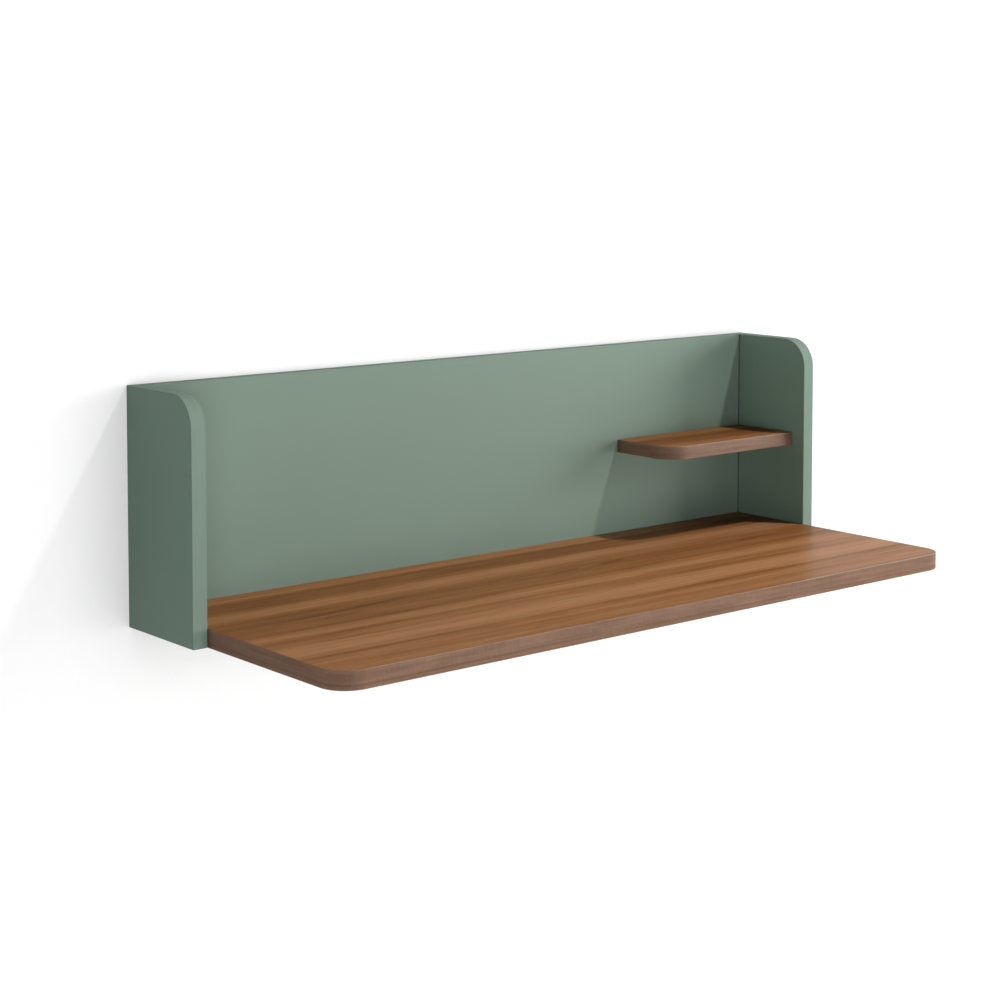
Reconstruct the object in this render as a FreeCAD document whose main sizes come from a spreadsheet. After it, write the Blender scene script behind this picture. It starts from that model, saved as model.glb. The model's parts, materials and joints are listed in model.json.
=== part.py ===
import FreeCAD, Part
import os
import re

import Sketcher
from FreeCAD import Placement, Rotation, Vector

# Floating wall desk, in millimetres. The origin lies on the wall, in the middle of the four wall screw
# holes, with +X to the right along the wall, +Y into the wall and +Z up.

# Driving dimensions
SIZES = {
    # Whole desk
    "overall_width": 1200,
    "overall_height": 333,
    # Side panels
    "side_thickness": 22,
    "side_depth": 167,
    "side_corner_radius": 45,
    # Back panel
    "back_thickness": 18,
    # Desktop: its reach is counted from the wall
    "desktop_thickness": 25,
    "desktop_reach": 465,
    "desktop_corner_radius": 40,
    # Corner shelf: its rise is counted from the desktop's upper face
    "shelf_length": 284,
    "shelf_depth": 124,
    "shelf_thickness": 21,
    "shelf_rise": 131,
    "shelf_corner_radius": 40,
    # Edge bands
    "band_thickness": 1,
    "band_edge_radius": 0.6,
    # Room round a fitted piece and past its end, and how far a cutting shape passes a face
    "fit_clearance": 0.1,
    "end_gap": 0.8,
    "overrun": 2,
    # Dowels: the socket is the depth in the panel that the board's end meets
    "dowel_diameter": 8,
    "dowel_length": 30,
    "dowel_socket": 12,
    "dowel_chamfer": 1,
    # Cam locks: the setback is counted from the board's end, the floor from the bolt's axis
    "cam_diameter": 15,
    "cam_setback": 24,
    "cam_floor": 5,
    "cam_inset": 0.5,
    "cam_window_clearance": 0.4,
    "cam_slot_length": 9,
    "cam_slot_width": 1.6,
    "cam_slot_depth": 2.2,
    "cap_thickness": 1.5,
    # Cam bolts
    "bolt_thread_diameter": 5,
    "bolt_thread_length": 11,
    "bolt_shaft_diameter": 7,
    "bolt_shaft_gap": 1,
    "bolt_neck_diameter": 4.5,
    "bolt_head_diameter": 7,
    "bolt_head_length": 4,
    "bolt_bore_clearance": 0.5,
    # Long screws through the back panel
    "screw_length": 50,
    "screw_diameter": 6.5,
    "screw_head_diameter": 10,
    "screw_head_length": 4,
    "screw_tip_length": 5,
    "screw_tip_diameter": 2,
    "screw_inset": 0.3,
    # Hangers: the drop is counted from the desk's top, the inset from the back panel's end
    "hanger_drop": 100,
    "hanger_inset": 178,
    "hanger_width": 60,
    "hanger_thickness": 2,
    "hanger_gap": 0.4,
    "wall_plate_height": 44,
    "wall_hole_diameter": 6.5,
    "wall_hole_spacing": 24,
    "lip_length": 12,
    "lip_end_gap": 0.5,
    "hook_base_height": 30,
    "pocket_margin": 3,
    "pocket_corner_radius": 5,
    # Hook plate screws
    "hook_screw_length": 8.5,
    "hook_screw_diameter": 4,
    "hook_screw_head_diameter": 7.2,
    "hook_screw_head_length": 1.6,
    "hook_screw_tip_length": 2,
    "hook_screw_tip_diameter": 1,
    "hook_screw_inset": 0.1,
}

# Dimensions that follow from the driving ones
DERIVED = {
    "inner_half": "overall_width / 2 - side_thickness",
    "inner_width": "2 * inner_half",
    "underside": "hanger_drop - overall_height",
    "end_joint_length": "side_depth - back_thickness",
    "desktop_mid": "underside + desktop_thickness / 2",
    "shelf_left": "inner_half - shelf_length",
    "shelf_bottom": "underside + desktop_thickness + shelf_rise",
    "shelf_mid": "shelf_bottom + shelf_thickness / 2",
    "back_mid": "-back_thickness / 2",
    "hanger_x": "inner_half - hanger_inset",
    "wall_plate_top": "wall_plate_height / 2",
    "wall_lip_top": "wall_plate_top + lip_length",
    "hook_lip_back": "-hanger_thickness - hanger_gap",
    "hook_lip_front": "hook_lip_back - hanger_thickness",
    "wall_lip_back": "hook_lip_front - hanger_gap",
    "wall_lip_front": "wall_lip_back - hanger_thickness",
    "hook_face": "wall_lip_front - hanger_gap",
    "pocket_floor": "hook_face - hanger_thickness",
    "hook_lip_bottom": "wall_plate_top + lip_end_gap",
    "hook_step_top": "wall_lip_top + hanger_thickness",
    "hook_top": "hook_step_top + hook_base_height",
    "pocket_top": "hook_top + pocket_margin",
    "pocket_bottom": "-wall_plate_top - lip_length - pocket_margin",
    "pocket_width": "hanger_width + 2 * pocket_margin",
}

# Places of the fasteners along each joint, as shares of its length
BACK_CAM_SHARES = (0.25, 0.75)
BACK_DOWEL_SHARES = (0.15, 0.85)
END_CAM_SHARES = (0.25, 0.75)
END_DOWEL_SHARES = (0.5,)
REAR_SCREW_SHARES = (0.07, 0.285, 0.5, 0.715, 0.93)
REAR_DOWEL_SHARES = (0.18, 0.39, 0.61, 0.82)
SHELF_SCREW_SHARES = (0.2, 0.8)
SHELF_REAR_DOWEL_SHARES = (0.5,)
SHELF_SIDE_DOWEL_SHARES = (0.3, 0.75)
HOOK_SCREW_COLUMN_SHARES = (-0.33, 0, 0.33)
HOOK_SCREW_ROW_SHARES = (0.27, 0.73)

RIGHT = Vector(1, 0, 0)
LEFT = Vector(-1, 0, 0)
BACK = Vector(0, 1, 0)
FRONT = Vector(0, -1, 0)
UP = Vector(0, 0, 1)
DOWN = Vector(0, 0, -1)
DIRECTIONS = (RIGHT, LEFT, BACK, FRONT, UP, DOWN)

# Each side's sign along X and the way from its side panel into the desk
SIDES = {"left": (-1, RIGHT), "right": (1, LEFT)}


def filled_sheet():
    """Return a sheet with one named cell for each driving or derived dimension."""
    cells = {name: str(value) for name, value in SIZES.items()}
    cells.update({name: f"={formula}" for name, formula in DERIVED.items()})
    new_sheet = doc.addObject("Spreadsheet::Sheet", "sizes")
    for row, (name, content) in enumerate(cells.items(), start=1):
        new_sheet.set(f"A{row}", name)
        new_sheet.set(f"B{row}", content)
        new_sheet.setAlias(f"B{row}", name)
    doc.recompute()
    return new_sheet


def with_sheet(expression):
    """Return an expression with the sheet's name before each of its dimensions."""
    return re.sub(r"[a-z]\w+", lambda word: f"sizes.{word.group()}", expression)


def value_of(expression):
    """Return the present value of an expression."""
    return float(sheet.evalExpression(with_sheet(expression)))


def bind(item, **expressions):
    """Tie properties of an object to expressions."""
    for name, expression in expressions.items():
        item.setExpression(name, with_sheet(expression))


def place(item, position, rotation=Rotation()):
    """Turn an object and tie its position to three expressions."""
    item.Placement = Placement(Vector(), rotation)
    for axis, expression in zip("xyz", position):
        item.setExpression(f"Placement.Base.{axis}", with_sheet(expression))


def turn(along, side):
    """Return the rotation that takes +Z along one direction and +X along another."""
    return Rotation(side, along.cross(side), along, "ZXY")


def spread(start, length, shares):
    """Return expressions for places at shares of a length, counted from its start."""
    return [f"{start} + {share} * ({length})" for share in shares]


def face_towards(shape, direction):
    """Return the face of a shape that lies furthest along a direction."""
    return max(shape.Faces, key=lambda face: face.CenterOfMass.dot(direction))


def is_among(edge, edges):
    """Tell whether an edge is one of some edges."""
    return any(edge.isSame(other) for other in edges)


def shared_edges(shape, first, second):
    """Return the edges between the faces towards two directions."""
    others = face_towards(shape, second).Edges
    return [edge for edge in face_towards(shape, first).Edges if is_among(edge, others)]


def rim_edges(shape, faces, without):
    """Return the edges of the faces towards some directions that lie on no face towards others."""
    edges = [edge for direction in faces for edge in face_towards(shape, direction).Edges]
    left_out = [edge for direction in without for edge in face_towards(shape, direction).Edges]
    return [edge for edge in edges if not is_among(edge, left_out)]


def round_edges(body, name, edges, radius):
    """Fillet some edges of a body's latest feature."""
    base = body.Tip
    numbered = enumerate(base.Shape.Edges, start=1)
    names = [f"Edge{number}" for number, edge in numbered if is_among(edge, edges)]
    fillet = body.newObject("PartDesign::Fillet", name)
    fillet.Base = (base, names)
    bind(fillet, Radius=radius)
    doc.recompute()


def block(name, size, corner):
    """Return a body that holds one box, given its size and its lowest corner."""
    body = doc.addObject("PartDesign::Body", name)
    box = body.newObject("PartDesign::AdditiveBox", f"{name}_box")
    length, width, height = size
    bind(box, Length=length, Width=width, Height=height)
    place(box, corner)
    doc.recompute()
    return body


def draw_outline(body, plane_role, corners):
    """Return a sketch of a closed outline, whose corners are pairs of expressions, in a body's plane."""
    sketch = body.newObject("Sketcher::SketchObject", f"{body.Name}_outline")
    plane = next(item for item in body.Origin.OriginFeatures if item.Role == plane_role)
    sketch.AttachmentSupport = (plane, [""])
    sketch.MapMode = "FlatFace"
    points = [Vector(value_of(across), value_of(up), 0) for across, up in corners]
    ends = points[1:] + points[:1]
    for start, end in zip(points, ends):
        sketch.addGeometry(Part.LineSegment(start, end))
    for line in range(len(corners)):
        following = (line + 1) % len(corners)
        sketch.addConstraint(Sketcher.Constraint("Coincident", line, 2, following, 1))
    for line, (across, up) in enumerate(corners):
        pin_coordinate(sketch, line, "DistanceX", across, -2)
        pin_coordinate(sketch, line, "DistanceY", up, -1)
    return sketch


def pin_coordinate(sketch, line, kind, expression, zero_axis):
    """Tie one coordinate of a line's start to an expression, or put it on an axis where that is zero."""
    if expression == "0":
        sketch.addConstraint(Sketcher.Constraint("PointOnObject", line, 1, zero_axis))
        return
    constraint = Sketcher.Constraint(kind, line, 1, value_of(expression))
    number = sketch.addConstraint(constraint)
    sketch.setExpression(f"Constraints[{number}]", with_sheet(expression))


def turned(name, corners):
    """Return a body turned about +Z from a half outline of radius and height pairs."""
    body = doc.addObject("PartDesign::Body", name)
    sketch = draw_outline(body, "XZ_Plane", corners)
    revolution = body.newObject("PartDesign::Revolution", f"{name}_turning")
    revolution.Profile = sketch
    revolution.ReferenceAxis = (sketch, ["V_Axis"])
    doc.recompute()
    return body


def rod(name, radius, bottom, top):
    """Return a plain round rod about +Z."""
    return turned(name, [("0", bottom), (radius, bottom), (radius, top), ("0", top)])


def profile_plate(name, corners, sign):
    """Return a hanger plate whose section, in Y and Z, runs along X at one side of the desk."""
    body = doc.addObject("PartDesign::Body", name)
    pad = body.newObject("PartDesign::Pad", f"{name}_pad")
    pad.Profile = draw_outline(body, "YZ_Plane", corners)
    bind(pad, Length="hanger_width")
    place(body, (f"{sign} * hanger_x - hanger_width / 2", "0", "0"))
    body.Tip = pad
    doc.recompute()
    return body


def combined(kind, name, base, tool):
    """Return a boolean of two objects."""
    result = doc.addObject(kind, name)
    result.Base = base
    result.Tool = tool
    return result


def drilled(name, board, bores):
    """Return a board or plate with bores cut out of it."""
    cutters = doc.addObject("Part::MultiFuse", f"{name}_bores")
    cutters.Shapes = bores
    return combined("Part::Cut", name, board, cutters)


def copies(master, positions, rotation):
    """Return one linked copy of a master at each position."""
    links = []
    for position in positions:
        link = doc.addObject("App::Link", f"{master.Name}_copy")
        link.LinkedObject = master
        place(link, position, rotation)
        links.append(link)
    return links


def group(name, items):
    """Return one sub-part that holds several separate solids."""
    compound = doc.addObject("Part::Compound", name)
    compound.Links = items
    return compound


def banded_board(name, band_name, size, corner, banded, faces, rounded=(), radius=""):
    """Return a board's core and the edge band that wraps it.

    banded lists the directions of the edges with a band, faces those of the board's two broad faces,
    and rounded the pairs of directions between which a corner is rounded to the radius.
    """
    core_size = []
    core_corner = []
    for axis in range(len(size)):
        low_bands = sum(direction[axis] < 0 for direction in banded)
        high_bands = sum(direction[axis] > 0 for direction in banded)
        core_size.append(f"{size[axis]} - {low_bands + high_bands} * band_thickness")
        core_corner.append(f"{corner[axis]} + {low_bands} * band_thickness")
    whole = block(f"{name}_whole", size, corner)
    core = block(f"{name}_core", core_size, core_corner)
    for first, second in rounded:
        round_edges(whole, f"{name}_corner", shared_edges(whole.Tip.Shape, first, second), radius)
        core_edges = shared_edges(core.Tip.Shape, first, second)
        round_edges(core, f"{name}_core_corner", core_edges, f"{radius} - band_thickness")
    plain = [direction for direction in DIRECTIONS if direction not in banded + faces]
    round_edges(whole, f"{name}_rim", rim_edges(whole.Tip.Shape, faces, plain), "band_edge_radius")
    return core, combined("Part::Cut", band_name, whole, core)


def split_band(band, zone, upper_name, lower_name):
    """Return the piece of a band outside a zone and the piece inside it."""
    upper = combined("Part::Cut", upper_name, band, zone)
    lower = combined("Part::Common", lower_name, band, zone)
    return [upper, lower]


def make_dowel():
    """Return a dowel and its bore, along +Z out of the panel that the board's end meets."""
    radius = "dowel_diameter / 2"
    top = "(dowel_length - dowel_socket)"
    dowel = turned("dowel", [
        ("0", "-dowel_socket"),
        (f"{radius} - dowel_chamfer", "-dowel_socket"),
        (radius, "dowel_chamfer - dowel_socket"),
        (radius, f"{top} - dowel_chamfer"),
        (f"{radius} - dowel_chamfer", top),
        ("0", top),
    ])
    bore = rod("dowel_bore", f"{radius} + fit_clearance", "-dowel_socket - end_gap", f"{top} + end_gap")
    return dowel, bore


def make_cam_bolt():
    """Return a cam bolt and its stepped bore, along +Z out of the side panel it is screwed into."""
    thread = "bolt_thread_diameter / 2"
    shaft = "bolt_shaft_diameter / 2"
    neck = "bolt_neck_diameter / 2"
    head = "bolt_head_diameter / 2"
    shaft_top = "cam_setback - cam_diameter / 2 - bolt_shaft_gap"
    head_bottom = "cam_setback - bolt_head_length / 2"
    head_top = "cam_setback + bolt_head_length / 2"
    bolt = turned("cam_bolt", [
        ("0", "-bolt_thread_length"),
        (thread, "-bolt_thread_length"),
        (thread, "0"),
        (shaft, "0"),
        (shaft, shaft_top),
        (neck, shaft_top),
        (neck, head_bottom),
        (head, head_bottom),
        (head, head_top),
        ("0", head_top),
    ])
    bore = turned("cam_bolt_bore", [
        ("0", "-bolt_thread_length - end_gap"),
        (f"{thread} + fit_clearance", "-bolt_thread_length - end_gap"),
        (f"{thread} + fit_clearance", "0"),
        (f"{shaft} + bolt_bore_clearance", "0"),
        (f"{shaft} + bolt_bore_clearance", "cam_setback"),
        ("0", "cam_setback"),
    ])
    return bolt, bore


def make_cam(name, cam_top, surface):
    """Return a cam lock and its bore about +Z, with the bolt coming in from -X at height zero."""
    cam = rod(name, "cam_diameter / 2", "-cam_floor", cam_top)
    window = cam.newObject("PartDesign::SubtractiveCylinder", f"{name}_window")
    reach = "(cam_diameter / 2 + overrun)"
    bind(
        window,
        Radius="bolt_head_diameter / 2 + cam_window_clearance",
        Height=f"{reach} + bolt_head_length / 2 + cam_window_clearance",
    )
    place(window, (f"-{reach}", "0", "0"), turn(RIGHT, UP))
    slot_size = ("cam_slot_length", "cam_slot_width")
    for across, along in (slot_size, slot_size[::-1]):
        slot = cam.newObject("PartDesign::SubtractiveBox", f"{name}_slot")
        bind(slot, Length=across, Width=along, Height="cam_slot_depth + overrun")
        place(slot, (f"-{across} / 2", f"-{along} / 2", f"{cam_top} - cam_slot_depth"))
    doc.recompute()
    wall = "cam_diameter / 2 + fit_clearance"
    bore = rod(f"{name}_bore", wall, "-cam_floor - fit_clearance", f"{surface} + overrun")
    return cam, bore


def make_long_screw():
    """Return a long screw and its bore, along +Z from the back panel's rear face."""
    shank = "screw_diameter / 2"
    head = "screw_head_diameter / 2"
    head_end = "screw_inset + screw_head_length"
    tip_end = "screw_inset + screw_length"
    screw = turned("long_screw", [
        ("0", "screw_inset"),
        (head, "screw_inset"),
        (head, head_end),
        (shank, head_end),
        (shank, f"{tip_end} - screw_tip_length"),
        ("screw_tip_diameter / 2", tip_end),
        ("0", tip_end),
    ])
    bore = turned("long_screw_bore", [
        ("0", "-overrun"),
        (f"{head} + fit_clearance", "-overrun"),
        (f"{head} + fit_clearance", head_end),
        (f"{shank} + fit_clearance", head_end),
        (f"{shank} + fit_clearance", f"{tip_end} + end_gap"),
        ("0", f"{tip_end} + end_gap"),
    ])
    return screw, bore


def make_hook_screw():
    """Return a countersunk screw and its bore, along +Z from the hook plate's wall side."""
    shank = "hook_screw_diameter / 2"
    head = "hook_screw_head_diameter / 2"
    cone_end = "hook_screw_inset + hook_screw_head_length"
    tip_end = "hook_screw_inset + hook_screw_length"
    screw = turned("hook_screw", [
        ("0", "hook_screw_inset"),
        (head, "hook_screw_inset"),
        (shank, cone_end),
        (shank, f"{tip_end} - hook_screw_tip_length"),
        ("hook_screw_tip_diameter / 2", tip_end),
        ("0", tip_end),
    ])
    bore = turned("hook_screw_bore", [
        ("0", "-overrun"),
        (f"{head} + fit_clearance", "-overrun"),
        (f"{head} + fit_clearance", "hook_screw_inset"),
        (f"{shank} + fit_clearance", cone_end),
        (f"{shank} + fit_clearance", f"{tip_end} + end_gap"),
        ("0", f"{tip_end} + end_gap"),
    ])
    return screw, bore


def make_pocket():
    """Return the shape of the routed pocket for one hanger, centred on it along X."""
    size = ("pocket_width", "overrun - pocket_floor", "pocket_top - pocket_bottom")
    pocket = block("pocket", size, ("-pocket_width / 2", "pocket_floor", "pocket_bottom"))
    upright = [(LEFT, UP), (LEFT, DOWN), (RIGHT, UP), (RIGHT, DOWN)]
    corners = [edge for pair in upright for edge in shared_edges(pocket.Tip.Shape, *pair)]
    round_edges(pocket, "pocket_corners", corners, "pocket_corner_radius")
    return pocket


doc = FreeCAD.newDocument("floating_wall_desk")
sheet = filled_sheet()

# Masters of the fasteners and of what is cut for them
dowel, dowel_bore = make_dowel()
cam_bolt, cam_bolt_bore = make_cam_bolt()
back_surface = "back_thickness / 2"
back_cam, back_cam_bore = make_cam("back_cam", f"{back_surface} - cam_inset", back_surface)
desktop_surface = "desktop_thickness / 2"
cap_bottom = f"{desktop_surface} - cap_thickness"
desktop_cam, desktop_cam_bore = make_cam("desktop_cam", f"{cap_bottom} - cam_inset", desktop_surface)
cam_cap = rod("cam_cap", "cam_diameter / 2", cap_bottom, desktop_surface)
long_screw, long_screw_bore = make_long_screw()
hook_screw, hook_screw_bore = make_hook_screw()
pocket = make_pocket()

# Boards and their edge bands
back_core, back_bands = banded_board(
    "back",
    "back_bands",
    size=("inner_width", "back_thickness", "overall_height"),
    corner=("-inner_half", "-back_thickness", "underside"),
    banded=[UP, DOWN],
    faces=[FRONT, BACK],
)
back_zone = block(
    "back_bottom_zone",
    ("inner_width", "back_thickness", "band_thickness"),
    ("-inner_half", "-back_thickness", "underside"),
)
desktop_core, desktop_blank_band = banded_board(
    "desk",
    "desktop_blank_band",
    size=("inner_width", "desktop_reach - back_thickness", "desktop_thickness"),
    corner=("-inner_half", "-desktop_reach", "underside"),
    banded=[LEFT, RIGHT, FRONT],
    faces=[UP, DOWN],
    rounded=[(FRONT, LEFT), (FRONT, RIGHT)],
    radius="desktop_corner_radius",
)
shelf_core, shelf_band = banded_board(
    "shelf",
    "corner_shelf_edge_band",
    size=("shelf_length", "shelf_depth", "shelf_thickness"),
    corner=("shelf_left", "-back_thickness - shelf_depth", "shelf_bottom"),
    banded=[LEFT, FRONT],
    faces=[UP, DOWN],
    rounded=[(FRONT, LEFT)],
    radius="shelf_corner_radius",
)
side_cores = {}
nodes = split_band(back_bands, back_zone, "back_panel_top_band", "back_panel_bottom_band")
for side, (sign, inward) in SIDES.items():
    outer_x = f"{sign} * (inner_half + side_thickness / 2) - side_thickness / 2"
    side_cores[side], side_bands = banded_board(
        f"{side}_side",
        f"{side}_side_bands",
        size=("side_thickness", "side_depth", "overall_height"),
        corner=(outer_x, "-side_depth", "underside"),
        banded=[FRONT, UP, DOWN],
        faces=[LEFT, RIGHT],
        rounded=[(FRONT, UP)],
        radius="side_corner_radius",
    )
    side_zone = block(
        f"{side}_bottom_zone",
        ("side_thickness", "side_depth - band_thickness", "band_thickness"),
        (outer_x, "band_thickness - side_depth", "underside"),
    )
    nodes += split_band(side_bands, side_zone, f"{side}_side_front_band", f"{side}_side_bottom_band")

# Joints of the back panel and of the desktop with the side panels
back_bores = copies(pocket, [("-hanger_x", "0", "0"), ("hanger_x", "0", "0")], Rotation())
desktop_bores = []
side_bores = {side: [] for side in SIDES}
back_cams, back_bolts, back_dowels = [], [], []
desktop_cams, desktop_bolts, desktop_caps, desktop_dowels = [], [], [], []
for side, (sign, inward) in SIDES.items():
    joint_x = f"{sign} * inner_half"
    cam_x = f"{sign} * (inner_half - cam_setback)"
    along_board = turn(inward, UP)
    cam_heights = spread("underside", "overall_height", BACK_CAM_SHARES)
    dowel_heights = spread("underside", "overall_height", BACK_DOWEL_SHARES)
    cam_depths = spread("-back_thickness", "-end_joint_length", END_CAM_SHARES)
    dowel_depths = spread("-back_thickness", "-end_joint_length", END_DOWEL_SHARES)

    back_cam_spots = [(cam_x, "back_mid", height) for height in cam_heights]
    back_bolt_spots = [(joint_x, "back_mid", height) for height in cam_heights]
    back_dowel_spots = [(joint_x, "back_mid", height) for height in dowel_heights]
    back_cams += copies(back_cam, back_cam_spots, turn(BACK, inward))
    back_bolts += copies(cam_bolt, back_bolt_spots, along_board)
    back_dowels += copies(dowel, back_dowel_spots, along_board)
    back_end_bores = copies(cam_bolt_bore, back_bolt_spots, along_board)
    back_end_bores += copies(dowel_bore, back_dowel_spots, along_board)
    back_bores += back_end_bores + copies(back_cam_bore, back_cam_spots, turn(BACK, inward))

    desktop_cam_spots = [(cam_x, depth, "desktop_mid") for depth in cam_depths]
    desktop_bolt_spots = [(joint_x, depth, "desktop_mid") for depth in cam_depths]
    desktop_dowel_spots = [(joint_x, depth, "desktop_mid") for depth in dowel_depths]
    desktop_cams += copies(desktop_cam, desktop_cam_spots, turn(DOWN, inward))
    desktop_caps += copies(cam_cap, desktop_cam_spots, turn(DOWN, inward))
    desktop_bolts += copies(cam_bolt, desktop_bolt_spots, along_board)
    desktop_dowels += copies(dowel, desktop_dowel_spots, along_board)
    desktop_end_bores = copies(cam_bolt_bore, desktop_bolt_spots, along_board)
    desktop_end_bores += copies(dowel_bore, desktop_dowel_spots, along_board)
    desktop_bores += desktop_end_bores + copies(desktop_cam_bore, desktop_cam_spots, turn(DOWN, inward))

    side_bores[side] += back_end_bores + desktop_end_bores

# Joints of the desktop and of the shelf with the back panel, and of the shelf with the right side panel
from_wall = turn(FRONT, UP)
rear_screw_places = spread("-inner_half", "inner_width", REAR_SCREW_SHARES)
rear_dowel_places = spread("-inner_half", "inner_width", REAR_DOWEL_SHARES)
rear_screw_spots = [(across, "0", "desktop_mid") for across in rear_screw_places]
rear_dowel_spots = [(across, "-back_thickness", "desktop_mid") for across in rear_dowel_places]
rear_bores = copies(long_screw_bore, rear_screw_spots, from_wall)
rear_bores += copies(dowel_bore, rear_dowel_spots, from_wall)
desktop_bores += rear_bores

shelf_screw_places = spread("shelf_left", "shelf_length", SHELF_SCREW_SHARES)
shelf_dowel_places = spread("shelf_left", "shelf_length", SHELF_REAR_DOWEL_SHARES)
shelf_side_places = spread("-back_thickness", "-shelf_depth", SHELF_SIDE_DOWEL_SHARES)
shelf_screw_spots = [(across, "0", "shelf_mid") for across in shelf_screw_places]
shelf_dowel_spots = [(across, "-back_thickness", "shelf_mid") for across in shelf_dowel_places]
shelf_side_spots = [("inner_half", depth, "shelf_mid") for depth in shelf_side_places]
shelf_rear_bores = copies(long_screw_bore, shelf_screw_spots, from_wall)
shelf_rear_bores += copies(dowel_bore, shelf_dowel_spots, from_wall)
shelf_side_bores = copies(dowel_bore, shelf_side_spots, turn(LEFT, UP))
back_bores += rear_bores + shelf_rear_bores
side_bores["right"] += shelf_side_bores

# Hangers: a hook plate in each pocket of the back panel, hung on a plate on the wall
WALL_PLATE_SECTION = [
    ("0", "-wall_plate_top"),
    ("0", "wall_plate_top"),
    ("wall_lip_back", "wall_plate_top"),
    ("wall_lip_back", "wall_lip_top"),
    ("wall_lip_front", "wall_lip_top"),
    ("wall_lip_front", "wall_plate_top - hanger_thickness"),
    ("-hanger_thickness", "wall_plate_top - hanger_thickness"),
    ("-hanger_thickness", "-wall_plate_top"),
]
HOOK_PLATE_SECTION = [
    ("pocket_floor", "wall_lip_top"),
    ("hook_lip_front", "wall_lip_top"),
    ("hook_lip_front", "hook_lip_bottom"),
    ("hook_lip_back", "hook_lip_bottom"),
    ("hook_lip_back", "hook_step_top"),
    ("hook_face", "hook_step_top"),
    ("hook_face", "hook_top"),
    ("pocket_floor", "hook_top"),
]
hook_screws = []
for side, (sign, inward) in SIDES.items():
    wall_plate = profile_plate(f"{side}_wall_plate", WALL_PLATE_SECTION, sign)
    for half in (-0.5, 0.5):
        hole = wall_plate.newObject("PartDesign::SubtractiveCylinder", f"{side}_wall_hole")
        bind(hole, Radius="wall_hole_diameter / 2", Height="hanger_thickness + 2 * overrun")
        place(hole, ("hanger_width / 2", "overrun", f"{half} * wall_hole_spacing"), from_wall)
    columns = spread(f"{sign} * hanger_x", "hanger_width", HOOK_SCREW_COLUMN_SHARES)
    rows = spread("hook_step_top", "hook_base_height", HOOK_SCREW_ROW_SHARES)
    screw_spots = [(column, "hook_face", row) for column in columns for row in rows]
    screw_bores = copies(hook_screw_bore, screw_spots, from_wall)
    hook_screws += copies(hook_screw, screw_spots, from_wall)
    back_bores += screw_bores
    hook_blank = profile_plate(f"{side}_hook_blank", HOOK_PLATE_SECTION, sign)
    nodes += [wall_plate, drilled(f"{side}_hook_plate", hook_blank, screw_bores)]

# Boards with their bores, and the groups of fasteners
nodes += [
    drilled("back_panel", back_core, back_bores),
    drilled("desktop", desktop_core, desktop_bores),
    drilled("desktop_edge_band", desktop_blank_band, desktop_bores),
    drilled("corner_shelf", shelf_core, shelf_rear_bores + shelf_side_bores),
    shelf_band,
    group("back_panel_cam_locks", back_cams),
    group("back_panel_cam_bolts", back_bolts),
    group("back_panel_dowels", back_dowels),
    group("desktop_cam_locks", desktop_cams),
    group("desktop_cam_bolts", desktop_bolts),
    group("desktop_cam_caps", desktop_caps),
    group("desktop_end_dowels", desktop_dowels),
    group("desktop_rear_screws", copies(long_screw, rear_screw_spots, from_wall)),
    group("desktop_rear_dowels", copies(dowel, rear_dowel_spots, from_wall)),
    group("shelf_rear_screws", copies(long_screw, shelf_screw_spots, from_wall)),
    group("shelf_rear_dowel", copies(dowel, shelf_dowel_spots, from_wall)),
    group("shelf_side_dowels", copies(dowel, shelf_side_spots, turn(LEFT, UP))),
    group("hook_plate_screws", hook_screws),
]
nodes += [drilled(f"{side}_side_panel", side_cores[side], side_bores[side]) for side in SIDES]
doc.recompute()

# Nothing is written unless every object is sound
for item in doc.Objects:
    if "Invalid" in item.State or "Error" in item.State:
        raise RuntimeError(f"{item.Name} failed: {item.State}")
for node in nodes:
    if node.Shape.isNull() or not node.Shape.isValid():
        raise RuntimeError(f"{node.Label} has no valid shape")

os.makedirs("parts", exist_ok=True)
for node in sorted(nodes, key=lambda item: item.Label):
    node.Shape.exportStep(f"parts/{node.Label}.step")
    count = len(node.Shape.Solids)
    print(f"{node.Label}: {count} solid(s), {node.Shape.Volume:.1f} mm3")
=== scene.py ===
"""Looks of the floating wall desk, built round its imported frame.

A walnut-grain top and corner shelf stand between sage lacquered panels, hung on concealed steel plates.
Sizes are in metres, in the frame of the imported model: the wall is Y = 0, X runs right and Z up.
"""

from __future__ import annotations

import json
import logging
import math
from dataclasses import dataclass, replace
from enum import Enum
from typing import Any, Callable, Mapping, Optional, Sequence, Union

import bmesh
import bpy
from mathutils import Matrix, Vector


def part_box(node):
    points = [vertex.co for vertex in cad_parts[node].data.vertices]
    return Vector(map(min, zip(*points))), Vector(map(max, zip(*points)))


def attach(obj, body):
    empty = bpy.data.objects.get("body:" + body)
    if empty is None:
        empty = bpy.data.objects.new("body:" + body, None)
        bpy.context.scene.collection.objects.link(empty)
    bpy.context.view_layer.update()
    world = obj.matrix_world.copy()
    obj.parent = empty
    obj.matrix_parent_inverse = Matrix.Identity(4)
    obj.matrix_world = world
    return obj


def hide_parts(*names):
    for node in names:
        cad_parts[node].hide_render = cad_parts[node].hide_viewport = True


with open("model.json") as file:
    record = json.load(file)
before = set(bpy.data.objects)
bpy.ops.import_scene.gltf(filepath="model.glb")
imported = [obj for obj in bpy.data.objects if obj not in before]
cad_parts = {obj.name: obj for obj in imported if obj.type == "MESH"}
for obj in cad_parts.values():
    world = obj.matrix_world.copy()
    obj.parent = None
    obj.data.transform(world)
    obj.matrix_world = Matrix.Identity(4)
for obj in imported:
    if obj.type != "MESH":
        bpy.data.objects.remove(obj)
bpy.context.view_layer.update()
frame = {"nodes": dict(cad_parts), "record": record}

LOG = logging.getLogger("wall_desk")
MM = 0.001
RIGHT = Vector((1.0, 0.0, 0.0))
BACK = Vector((0.0, 1.0, 0.0))
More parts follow.
